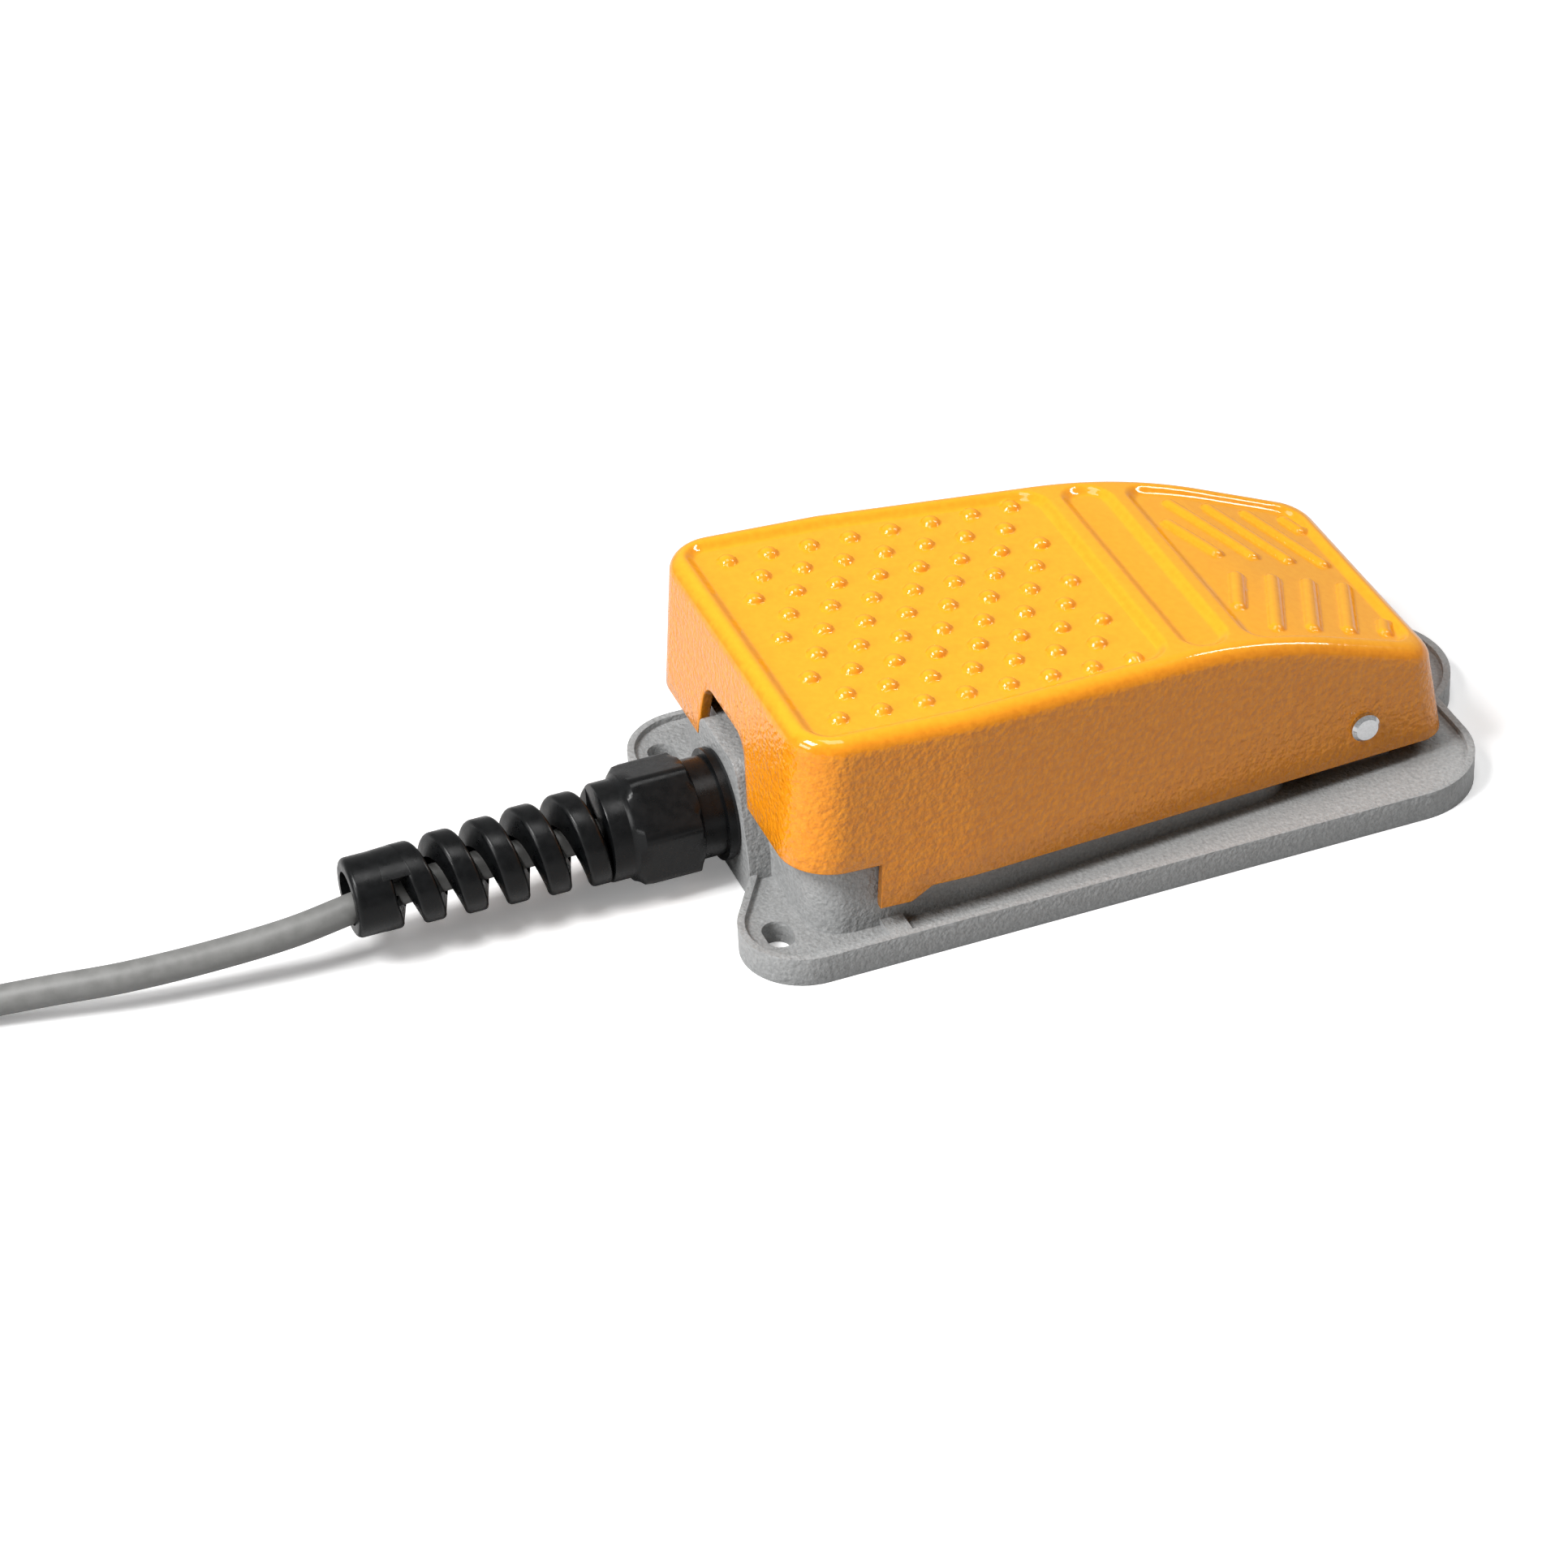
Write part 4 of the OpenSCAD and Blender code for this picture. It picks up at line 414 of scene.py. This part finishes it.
# shell of the pedal: rings from the inner roof down, under the lower edge, up the outer wall
# and round the top edge to the border of the tread's grid
def pedalShell():
    s = pedalSet

    # where the wall meets its lower edge, between the foot's outline and the top's
    def atEdge(foot, top):
        return (1 - s["edgeAt"]) * foot + s["edgeAt"] * top

    # the parameter's steps down the side, with two close together at the front of the stop tab
    corner = np.linspace(0, 1, s["cornerSteps"])
    side = np.linspace(1, 2, int((s["toeY"] - s["heelY"] - s["toeR"] - s["heelR"]) / s["spacing"]))
    low, high = (sideOutline(side, 0, foot)[1] for foot in (1, 0))
    split = float(np.interp(-s["tabFront"], -atEdge(low, high), side))
    t = np.concatenate([corner[:-1], side, 2 + corner[1:], [split - s["tabStep"], split + s["tabStep"]]])
    t = np.sort(t)

    # the steps across, as shares of the half width, finer beside the notch
    half = int(sideOutline(np.zeros(1), 0, 0)[0][0] / s["spacing"])
    fine = np.linspace(*s["notchFine"]) * s["notchW"] / (half * s["spacing"])
    across = np.sort(np.concatenate([np.linspace(-1, 1, 2 * half + 1), fine, -fine]))
    rows, columns = len(t), len(across)
    around = 2 * rows + 2 * (columns - 2)
    toeStart = 2 * rows + columns - 2

    # height of the lower edge all round
    mid = atEdge(*(outlineRing(t, across, 0, foot) for foot in (1, 0)))
    bottom = lowerZ(mid[:, 0], mid[:, 1], np.arange(around) >= toeStart)

    # a wall leans from its foot outline to its top outline
    def wall(inset, z, drop):
        foot, top = (outlineRing(t, across, inset, k) for k in (1, 0))
        topLevel = rimZ(top[:, 1]) - drop
        share = ((z - s["footZ"]) / (topLevel - s["footZ"]))[:, None]
        return np.column_stack([foot + share * (top - foot), z])

    def level(inset, drop):
        return rimZ(outlineRing(t, across, inset, 0)[:, 1]) - drop

    lift, soft = s["lowEdge"], s["lowRound"]
    rings = []
    innerTop = level(s["skirt"], s["roof"])
    for share in np.linspace(1, 0, s["innerRows"]):
        rings.append(wall(s["skirt"], bottom + lift + share * (innerTop - bottom - lift), s["roof"]))
    for part, rise in ((1 - soft, soft), (1, 0)):
        rings.append(wall(s["skirt"] - lift * part, bottom + lift * rise, s["roof"]))
    for part, rise in ((1, 0), (soft, soft)):
        rings.append(wall(lift * part, bottom + lift * rise, s["edgeR"]))
    outerTop = level(0, s["edgeR"])
    for share in np.linspace(0, 1, s["wallRows"]):
        rings.append(wall(0, bottom + lift + share * (outerTop - bottom - lift), s["edgeR"]))
    for k in range(1, s["edgeSteps"]):
        a = math.pi / 2 * k / s["edgeSteps"]
        plan = outlineRing(t, across, s["edgeR"] * (1 - math.cos(a)), 0)
        rings.append(np.column_stack([plan, rimZ(plan[:, 1]) - s["edgeR"] * (1 - math.sin(a))]))
    faces = gridFaces(len(rings), around, roundColumns=True).tolist()

    # tread grid: rows across the pedal whose ends lie on the last ring
    endX, endY = sideOutline(t, s["edgeR"], 0)
    gridX = endX[:, None] * across[None, :]
    gridY = np.repeat(endY[:, None], columns, axis=1)
    start = len(rings) * around
    grid = start + np.arange(rows * columns).reshape(rows, columns)
    faces += (gridFaces(rows, columns) + start).tolist()
    border = np.concatenate([grid[:, -1], grid[-1, 1:-1][::-1], grid[::-1, 0], grid[0, 1:-1]])
    last = start - around + np.arange(around)
    faces += np.stack([last, np.roll(last, -1), np.roll(border, -1), border], 1).tolist()
    top = np.stack([gridX, gridY, topZ(gridX, gridY)], -1).reshape(-1, 3)

    # inner roof in strips from side to side
    right = np.arange(rows)
    left = toeStart - 1 - right
    strips = np.stack([right[1:-2], right[2:-1], left[2:-1], left[1:-2]], 1).tolist()
    heelEnd = [right[-2], *range(rows - 1, rows + columns - 1), left[-2]]
    toeEnd = [left[1], *range(toeStart - 1, around), right[0], right[1]]
    faces += strips + [heelEnd, toeEnd]
    return np.concatenate([*rings, top]), faces


# bosses inside: for the pin, the adjusting screw, the spring cups and the heel stops
def pedalBosses():
    s = pedalSet
    pinR, cupR, boreR, pusherR = (s[k] / 2 for k in ("pinBossD", "cupD", "cupBore", "pusherD"))

    def boss(profile, centre, axis):
        return turned(profile, centre, axis, s["bossSides"]), cappedFaces(len(profile), s["bossSides"])

    # a little way into the roof
    def roof(y):
        return float(rimZ(y)) - s["roof"] + s["lap"]

    pinEnd = float(sideX(s["pinY"], s["pinZ"])) - s["skirt"] / 2
    cupTop = roof(s["springY"])
    cupRoof = cupTop - s["cupRoof"]
    cup = [(s["cupAxis"], cupTop), (cupR, cupTop), (cupR, s["cupZ"]), (boreR, s["cupZ"]), (boreR, cupRoof),
           (s["cupAxis"], cupRoof)]
    stopLow = np.array([-s["stopT"] / 2, s["stopY"] - s["stopDepth"] / 2, s["stopZ"]])
    stopHigh = np.array([s["stopT"] / 2, s["stopY"] + s["stopDepth"] / 2, roof(s["stopY"])])
    shapes = []
    for sign in (-1, 1):
        pin = [(pinR, sign * s["pinBossX"]), (pinR, sign * pinEnd)]
        shapes.append(boss(pin, (0, s["pinY"], s["pinZ"]), 0))
        shapes.append(boss(cup, (sign * s["springX"], s["springY"], 0), 2))
        aside = np.array([sign * s["stopX"], 0, 0])
        shapes.append(block(aside + stopLow, aside + stopHigh))
    pusher = [(pusherR, s["pusherZ"]), (pusherR, roof(s["pusherY"]))]
    shapes.append(boss(pusher, (0, s["pusherY"], 0), 2))
    return shapes


pedalShapes = [pedalShell(), *pedalBosses()]
pedalPiece = newPiece("pedal_shell", pedalShapes, "pedal", ["pedal_casting"])


# share of upright at each point, where the paint sagged into deeper ripples and where the walls get a
# painted shade of darker orange, and on top the surface's own slopes as normals, so that every bump shines
# alike
def finishPedal(mesh):
    count = len(mesh.vertices)
    normals, places = np.empty(3 * count, np.float32), np.empty(3 * count, np.float32)
    mesh.vertices.foreach_get("normal", normals)
    mesh.vertices.foreach_get("co", places)
    upright = mesh.attributes.new("upright", "FLOAT", "POINT")
    upright.data.foreach_set("value", 1 - np.abs(normals[2::3]))
    x, y, z = places.reshape(-1, 3).T.astype(float) / mm
    step = pedalSet["slopeStep"]
    slopeX = (topZ(x + step, y) - topZ(x - step, y)) / (2 * step)
    slopeY = (topZ(x, y + step) - topZ(x, y - step)) / (2 * step)
    smooth = np.stack([-slopeX, -slopeY, np.ones(count)], 1) / np.sqrt(1 + slopeX**2 + slopeY**2)[:, None]
    onTop = np.abs(z - topZ(x, y)) < pedalSet["topGap"]
    mesh.normals_split_custom_set_from_vertices(np.where(onTop[:, None], smooth, 0).tolist())
    print("pedal top has", int(onTop.sum()), "points")


finishPedal(pedalPiece.data)

# base: the casting's own mesh, merged and with its edges rounded
baseSet = {"merge": 0.01, "flat": 1.0, "edge": 0.55, "edgeAngle": 32, "segments": 3}


def makeBase():
    s = baseSet
    mesh = bpy.data.meshes.new("base_plate")
    work = bmesh.new()
    work.from_mesh(cad["base_casting"].data)
    bmesh.ops.remove_doubles(work, verts=work.verts, dist=s["merge"] * mm)
    bmesh.ops.dissolve_limit(work, angle_limit=math.radians(s["flat"]), verts=work.verts, edges=work.edges)
    work.to_mesh(mesh)
    work.free()
    mesh.polygons.foreach_set("use_smooth", np.ones(len(mesh.polygons), bool))
    piece = bpy.data.objects.new("base_plate", mesh)
    bpy.context.scene.collection.objects.link(piece)
    bevel = piece.modifiers.new("rounded edges", "BEVEL")
    bevel.width = s["edge"] * mm
    bevel.segments = s["segments"]
    bevel.limit_method = "ANGLE"
    bevel.angle_limit = math.radians(s["edgeAngle"])
    bevel.harden_normals = True
    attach(piece, "base")
    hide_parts("base_casting")
    print("made base_plate", len(mesh.polygons), "faces")
    return piece


basePiece = makeBase()

# gland nut: six-sided grip, shoulder, spiral and end ring along the cord
glandSet = {
    "z": 16.8, "nutY": 94.4, "nutL": 16, "across": 25.2, "turn": 18, "sides": 120,
    "bevel": 1, "farBevel": 1.8, "corner": 14.2, "cornerCut": 0.3,
    "nearEdge": [(0, -0.3), (0.2, 0)], "farEdge": [(-0.4, -0.1)],  # small steps, along and out
    "shoulder": 5.4, "shoulderR": 11.5,
    "neck": [(0, 0.4), (0.6, 0)], "shoulderEdge": [(-0.6, 0), (-0.2, -0.2), (0, -0.6)],
    "bore0": 4.6, "bore1": 4.9, "mouth": 6.2,
    "pitch": 9.7, "turns": 5.1, "band": 5.5, "spiralR0": 11.5, "spiralR1": 9.2, "round": 1.2, "lean": 1.1,
    "perTurn": 60, "phase": -45, "roundSteps": 6,
    "slotEnd": 120, "closedRound": 0.05, "closedProud": 0.03, "closedLap": 1,
    "ringL": 9.3, "ringRound": 1.3, "ringSides": 72, "sharp": 32,
}
spiralStart = glandSet["nutY"] + glandSet["nutL"]
spiralRise = glandSet["shoulder"] + glandSet["turns"] * glandSet["pitch"]


# points at a radius and an angle about the cord's line, with y along it
def aboutCord(radius, angle, y):
    radius, angle, y = np.broadcast_arrays(radius, angle, y)
    points = np.stack([radius * np.cos(angle), y, glandSet["z"] - radius * np.sin(angle)], -1)
    return points.reshape(-1, 3)


# hexagon whose corners and ends are cut by a turned profile: the smaller of two radii
def nutShape():
    g = glandSet
    near, end = g["nutY"], spiralStart
    shoulder = end + g["shoulder"]
    flat = g["across"] / 2

    # small steps of the profile, along and out from a place on it
    def stepped(y, radius, steps):
        return [(y + along, radius + out) for along, out in steps]

    profile = np.array([
        (near, g["bore0"]), *stepped(near, flat, g["nearEdge"]),
        (near + g["bevel"], g["corner"]), (near + 2 * g["bevel"], g["corner"]),
        (end - 2 * g["farBevel"], g["corner"]), (end - g["farBevel"], g["corner"] - g["cornerCut"]),
        *stepped(end, flat, g["farEdge"]), *stepped(end, g["shoulderR"], g["neck"]),
        *stepped(shoulder, g["shoulderR"], g["shoulderEdge"]), (shoulder, g["bore0"]),
    ])
    angle = tau * np.arange(g["sides"]) / g["sides"]
    sixth = math.pi / 3
    hexagon = flat / np.cos((angle - math.radians(g["turn"])) % sixth - sixth / 2)
    points = aboutCord(np.minimum(hexagon, profile[:, 1:]), angle, profile[:, :1])
    return points, gridFaces(len(profile), g["sides"], True, True).tolist()


# a band with rounded outer corners and leaning sides carried along a helix whose radii change evenly;
# the closed part of its slot, from a share of the length on, reaches from the band into the end ring
def spiralShape(begin, closed):
    g = glandSet
    share = np.linspace(begin, 1, int(g["perTurn"] * (1 - begin) * spiralRise / g["pitch"]))[:, None]
    angle = math.radians(g["phase"]) + tau * share * spiralRise / g["pitch"]
    outer = g["spiralR0"] + (g["spiralR1"] - g["spiralR0"]) * share
    inner = g["bore0"] + (g["bore1"] - g["bore0"]) * share
    low = spiralStart + spiralRise * share
    high, farOuter, r, lean = low + g["band"], outer, g["round"], g["lean"]
    if closed:
        low = low + g["band"] / 2
        high = np.full_like(low, spiralStart + spiralRise + g["ringRound"] + g["closedLap"])
        farOuter = np.full_like(outer, g["spiralR1"] + g["closedProud"])
        r, lean = g["closedRound"], 0
    turn = np.linspace(0, math.pi / 2, g["roundSteps"])
    cut, step = r * (1 - np.sin(turn)), r * (1 - np.cos(turn))
    radius = np.concatenate([inner, outer - cut, farOuter - cut[::-1], inner], 1)
    y = np.concatenate([low - lean, low + step, high - step[::-1], high + lean], 1)
    return aboutCord(radius, angle, y), cappedFaces(*radius.shape)


# end ring: a turned profile with round outer edges and a bore that opens to its mouth
def ringShape():
    g = glandSet
    start = spiralStart + spiralRise
    turn = np.linspace(0, math.pi / 2, g["roundSteps"])
    cut, step = g["ringRound"] * (1 - np.sin(turn)), g["ringRound"] * (1 - np.cos(turn))
    near = np.column_stack([g["spiralR1"] - cut, start + step])
    far = np.column_stack([g["spiralR1"] - step, start + g["ringL"] - cut])
    profile = np.vstack([(g["bore1"], start), near, far, (g["mouth"], start + g["ringL"])])
    points = turned(profile, (0, 0, g["z"]), 1, g["ringSides"])
    return points, gridFaces(len(profile), g["ringSides"], True, True).tolist()


slotClosed = (glandSet["band"] + glandSet["pitch"] * glandSet["slotEnd"] / 360) / spiralRise
glandShapes = [nutShape(), spiralShape(0, False), spiralShape(1 - slotClosed, True), ringShape()]
glandPiece = newPiece("gland_spiral_nut", glandShapes, "base", ["gland_nut"],
                      glandSet["sharp"])

# return springs: a wire helix with closed ends, pressed shorter by the pedal
springSet = {
    "x": 23, "y": 49.8, "outer": 15, "wire": 1.8, "turns": 7, "lowZ": 4.2, "highZ": 50.8, "travel": 4.44,
    "closed": 1.15,  # rise of a closed end turn, in wire thicknesses
    "perTurn": 28, "sides": 12,
}


# height along the wire: closed first and last turns, an even rise between them
def springLine(x):
    s = springSet
    turn = np.linspace(0, s["turns"], s["turns"] * s["perTurn"] + 1)
    closed = s["closed"] * s["wire"]
    rise = s["highZ"] - s["lowZ"] - s["wire"] - 2 * closed
    z = np.interp(turn, [0, 1, s["turns"] - 1, s["turns"]], [0, closed, closed + rise, 2 * closed + rise])
    r = (s["outer"] - s["wire"]) / 2
    lowest = s["lowZ"] + s["wire"] / 2
    return np.stack([x + r * np.cos(tau * turn), s["y"] + r * np.sin(tau * turn), lowest + z], 1)


springShapes = [tube(springLine(sign * springSet["x"]), springSet["wire"] / 2, springSet["sides"])
                for sign in (-1, 1)]
springPiece = newPiece("spring_pair", springShapes, "base", ["return_springs"])
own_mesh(springPiece)


# a material with its shader and object coordinates in mm
def newMaterial(name, settings):
    material = bpy.data.materials.new(name)
    material.use_nodes = True
    tree = material.node_tree
    tree.nodes.clear()
    shader = addNode(tree, "ShaderNodeBsdfPrincipled", settings)
    addNode(tree, "ShaderNodeOutputMaterial", None, {"Surface": (shader, "BSDF")})
    place = addNode(tree, "ShaderNodeTexCoord")
    inMm = addNode(tree, "ShaderNodeVectorMath", {"operation": "SCALE", "Scale": 1 / mm},
                   {0: (place, "Object")})
    return material, tree, shader, inMm


# the part of the noise's range that goes from one colour to the other, and how finely the noises branch
grainSet = {"mottle": (0.35, 0.65), "mottleDetail": 3.0, "bumpDetail": 1.5}


# colour and roughness varied by a noise of one size, and bumps by noises of given sizes and depths, in mm;
# on a piece with an upright share, level faces have shallower bumps and slopes a darker colour, a painted
# shade
def finish(name, dark, light, rough, spot, bumps, settings=None, onWall=None):
    material, tree, shader, inMm = newMaterial(name, settings or {})
    noise = addNode(tree, "ShaderNodeTexNoise", {"Scale": 1 / spot, "Detail": grainSet["mottleDetail"]},
                    {"Vector": (inMm, "Vector")})
    low, high = grainSet["mottle"]
    mottle = addNode(tree, "ShaderNodeMapRange", {"From Min": low, "From Max": high},
                     {"Value": (noise, "Fac")})
    mix = addNode(tree, "ShaderNodeMix", {"data_type": "RGBA", 6: linear(dark), 7: linear(light)},
                  {0: (mottle, "Result")})
    if onWall:
        share = addNode(tree, "ShaderNodeAttribute", {"attribute_name": "upright"})
        wall = addNode(tree, "ShaderNodeMapRange", {"From Min": onWall["from"], "From Max": onWall["to"]},
                       {"Value": (share, "Fac")})
        strength = addNode(tree, "ShaderNodeMapRange", {"To Min": onWall["level"], "To Max": 1.0},
                           {"Value": (wall, "Result")})
        # slopes go over to a darker orange: painted shade on the walls
        low, high = onWall["paintedShade"]
        slope = addNode(tree, "ShaderNodeMapRange", {"From Min": low, "From Max": high},
                        {"Value": (share, "Fac")})
        colours = {6: linear(onWall["dark"]), 7: linear(onWall["light"])}
        paintedShade = addNode(tree, "ShaderNodeMix", {"data_type": "RGBA", **colours}, {0: (mottle, "Result")})
        mix = addNode(tree, "ShaderNodeMix", {"data_type": "RGBA"},
                      {0: (slope, "Result"), 6: (mix, 2), 7: (paintedShade, 2)})
    tree.links.new(mix.outputs[2], shader.inputs["Base Color"])
    spread = addNode(tree, "ShaderNodeMapRange", {"To Min": rough[0], "To Max": rough[1]},
                     {"Value": (mottle, "Result")})
    tree.links.new(spread.outputs["Result"], shader.inputs["Roughness"])
    normal = None
    for size, depth in bumps:
        grain = addNode(tree, "ShaderNodeTexNoise", {"Scale": 1 / size, "Detail": grainSet["bumpDetail"]},
                        {"Vector": (inMm, "Vector")})
        links = {"Height": (grain, "Fac")}
        if normal:
            links["Normal"] = (normal, "Normal")
        if onWall:
            links["Strength"] = (strength, "Result")
        normal = addNode(tree, "ShaderNodeBump", {"Strength": 1.0, "Distance": depth * mm}, links)
    tree.links.new(normal.outputs["Normal"], shader.inputs["Normal"])
    return material


metal = {"Metallic": 1.0}

# hammered enamel on a die casting: glossy and smooth on top, where it flowed out level, with dimples
# that break up the reflections on the walls, where it sagged; the walls carry a painted shade of darker
# orange
orangeEnamel = finish("orange hammered enamel", "#f8a91c", "#faae20", (0.07, 0.11), 1.6,
                      [(1.3, 0.4), (0.6, 0.06)], {"IOR": 1.46},
                      {"from": 0.55, "to": 0.9, "level": 0.06, "paintedShade": (0.03, 0.4),
                       "dark": "#ec8d10", "light": "#f89a18"})
# the same enamel in grey, thinner and dimpled all over, so its gloss is broken up and soft
greyEnamel = finish("grey hammered enamel", "#919292", "#a3a4a4", (0.28, 0.38), 0.8,
                    [(1.2, 0.36), (0.5, 0.1)], {"IOR": 1.48})
# ground and polished steel: bright, with fine marks
brightSteel = finish("ground steel", "#c4c6c8", "#d6d8da", (0.16, 0.26), 0.5, [(0.3, 0.004)], metal)
# zinc plate: pale, slightly blue, softly bright
zincSteel = finish("zinc plated steel", "#b4b8bc", "#c8ccd0", (0.28, 0.4), 1.5, [(0.6, 0.005)], metal)
# drawn wire: a darker grey with a satin gloss
springSteel = finish("drawn spring wire", "#8f9396", "#a6aaad", (0.25, 0.35), 0.6, [(0.25, 0.004)], metal)
# sintered bronze: brown gold, dulled by its pores
sinterBronze = finish("sintered bronze", "#9c7434", "#b58a45", (0.38, 0.5), 0.5, [(0.2, 0.01)], metal)
# rolled brass: yellow, fairly bright
contactBrass = finish("rolled brass", "#b8913f", "#cda552", (0.22, 0.34), 1.0, [(0.3, 0.004)], metal)
# nickel plate: bright and slightly warm
nickelPlate = finish("nickel plated brass", "#c6c4bd", "#d8d6cf", (0.12, 0.2), 0.8, [(0.3, 0.002)], metal)
# plastics and rubber: an even colour, with a soft sheen from the mould's or the die's texture
caseResin = finish("moulded phenolic", "#232527", "#2b2d2f", (0.4, 0.5), 2.0, [(0.3, 0.008)])
whiteAcetal = finish("turned acetal", "#dcd8cc", "#e8e5da", (0.35, 0.45), 1.5, [(0.3, 0.004)])
blackNylon = finish("moulded black nylon", "#08090a", "#0e0f10", (0.26, 0.36), 2.0,
                    [(0.6, 0.01)], {"IOR": 1.3})
sealRubber = finish("moulded rubber", "#17181a", "#1e1f20", (0.55, 0.65), 1.0, [(0.4, 0.01)])
greyJacket = finish("extruded grey PVC", "#727270", "#7c7c7a", (0.42, 0.52), 3.0,
                    [(0.8, 0.012)], {"IOR": 1.54})
blueCore = finish("blue PVC core", "#2b5aa2", "#3366b0", (0.4, 0.5), 1.0, [(0.4, 0.006)])
brownCore = finish("brown PVC core", "#80522e", "#8f5f38", (0.4, 0.5), 1.0, [(0.4, 0.006)])
plugResin = finish("moulded plug PVC", "#1c1d1f", "#242527", (0.45, 0.55), 1.5, [(0.5, 0.01)])

# what each of the scene's pieces and of the other solids is finished in
pieceFinish = [
    (orangeEnamel, pedalPiece), (greyEnamel, basePiece), (blackNylon, glandPiece),
    (springSteel, springPiece), (greyJacket, cordPiece), (sealRubber, tiePiece),
]
solidFinish = [
    (brightSteel, ["pivot_pin", "lever_pin", "roller_pin"]),
    (zincSteel, ["switch_bracket", "bracket_screws", "switch_screws", "switch_nuts", "switch_lever",
                 "pusher_screw", "pusher_locknut"]),
    (sinterBronze, ["pivot_bushes"]),
    (contactBrass, ["contact_blade", "terminal_common", "terminal_open", "terminal_closed", "earth_screw"]),
    (nickelPlate, ["plug_sleeve", "plug_ring", "plug_tip"]),
    (caseResin, ["switch_case", "switch_cover"]),
    (whiteAcetal, ["switch_plunger", "lever_roller"]),
    (blackNylon, ["gland_body", "gland_locknut"]),
    (sealRubber, ["anti_slip_pads", "gland_washer", "gland_seal"]),
    (blueCore, ["core_wire_common"]),
    (brownCore, ["core_wire_open"]),
    (plugResin, ["plug_grip", "plug_insulators"]),
]
solids = [(material, cad[name]) for material, names in solidFinish for name in names]
for material, thing in pieceFinish + solids:
    thing.data.materials.clear()
    thing.data.materials.append(material)
print("finishes given")

# studio: a floor that the camera sees white and that keeps the shadow, soft light from above and
# from the toe, a tall strip at the heel for the edges' highlights and a low fill; in metres and watts
studioSet = {
    "floorSize": 8, "floor": "#ffffff", "floorRough": 0.6, "floorGloss": 0.2,
    "bounce": "#b4b4b4", "lift": 0.2, "fade": (400, 1200),  # the fade in mm from the middle
    "world": 0.03, "mirrored": 0.4, "white": (1, 1, 1, 1),
    "aim": (0, 0, 0.03),
    "lamps": [
        {"name": "top softbox", "place": (-0.1, 0.0, 1.5), "size": (0.6, 0.6), "power": 6.2},
        {"name": "toe softbox", "place": (-0.18, 0.98, 1.23), "size": (0.55, 0.5), "power": 23},
        {"name": "heel strip", "place": (-0.02, -1.12, 1.1), "size": (0.16, 0.7), "power": 8.5},
        {"name": "low fill", "place": (-0.26, 1.38, 0.55), "size": (0.6, 0.4), "power": 8.5},
    ],
}


# how white the surroundings are: fully to the camera and through glass, partly in a gloss
def whoSees(tree):
    path = addNode(tree, "ShaderNodeLightPath")
    through = addNode(tree, "ShaderNodeMath", {"operation": "MAXIMUM"},
                      {0: (path, "Is Camera Ray"), 1: (path, "Is Transmission Ray")})
    gloss = addNode(tree, "ShaderNodeMath", {"operation": "MULTIPLY", 1: studioSet["mirrored"]},
                    {0: (path, "Is Glossy Ray")})
    seen = addNode(tree, "ShaderNodeMath", {"operation": "MAXIMUM"}, {0: (through, 0), 1: (gloss, 0)})
    return path, seen


# the floor is grey to the light that it sends back to the part, and away from the part it goes
# over to the white of the backdrop
def makeFloor():
    s = studioSet
    half = s["floorSize"] / 2
    corners = [(-half, -half, 0), (half, -half, 0), (half, half, 0), (-half, half, 0)]
    mesh = bpy.data.meshes.new("floor")
    mesh.from_pydata(corners, [], [[0, 1, 2, 3]])
    floor = bpy.data.objects.new("floor", mesh)
    bpy.context.scene.collection.objects.link(floor)
    material, tree, shader, inMm = newMaterial("white studio floor", {
        "Roughness": s["floorRough"], "Specular IOR Level": s["floorGloss"], "Emission Color": s["white"],
    })
    path, seen = whoSees(tree)
    colours = {6: linear(s["bounce"]), 7: linear(s["floor"])}
    mix = addNode(tree, "ShaderNodeMix", {"data_type": "RGBA", **colours}, {0: (seen, 0)})
    tree.links.new(mix.outputs[2], shader.inputs["Base Color"])
    away = addNode(tree, "ShaderNodeVectorMath", {"operation": "LENGTH"}, {0: (inMm, "Vector")})
    near, far = s["fade"]
    fade = addNode(tree, "ShaderNodeMapRange",
                   {"From Min": near, "From Max": far, "To Min": s["lift"], "To Max": 1.0},
                   {"Value": (away, "Value")})
    lift = addNode(tree, "ShaderNodeMath", {"operation": "MULTIPLY"},
                   {0: (path, "Is Camera Ray"), 1: (fade, "Result")})
    tree.links.new(lift.outputs[0], shader.inputs["Emission Strength"])
    mesh.materials.append(material)


def hangLamps():
    for lamp in studioSet["lamps"]:
        data = bpy.data.lights.new(lamp["name"], "AREA")
        data.shape = "RECTANGLE"
        data.size, data.size_y = lamp["size"]
        data.energy = lamp["power"]
        light = bpy.data.objects.new(lamp["name"], data)
        light.location = lamp["place"]
        aim = Vector(studioSet["aim"]) - Vector(lamp["place"])
        light.rotation_mode = "QUATERNION"
        light.rotation_quaternion = aim.to_track_quat("-Z", "Y")
        bpy.context.scene.collection.objects.link(light)


# the world is white where it is seen and gives only a little light
def makeWorld():
    s = studioSet
    world = bpy.data.worlds.new("studio")
    bpy.context.scene.world = world
    world.use_nodes = True
    tree = world.node_tree
    tree.nodes.clear()
    seen = whoSees(tree)[1]
    strength = addNode(tree, "ShaderNodeMapRange", {"To Min": s["world"], "To Max": 1.0},
                       {"Value": (seen, 0)})
    back = addNode(tree, "ShaderNodeBackground", {"Color": s["white"]}, {"Strength": (strength, "Result")})
    addNode(tree, "ShaderNodeOutputWorld", None, {"Surface": (back, "Background")})


makeFloor()
hangLamps()
makeWorld()
bpy.context.scene.view_settings.view_transform = "Standard"
print("studio lit")
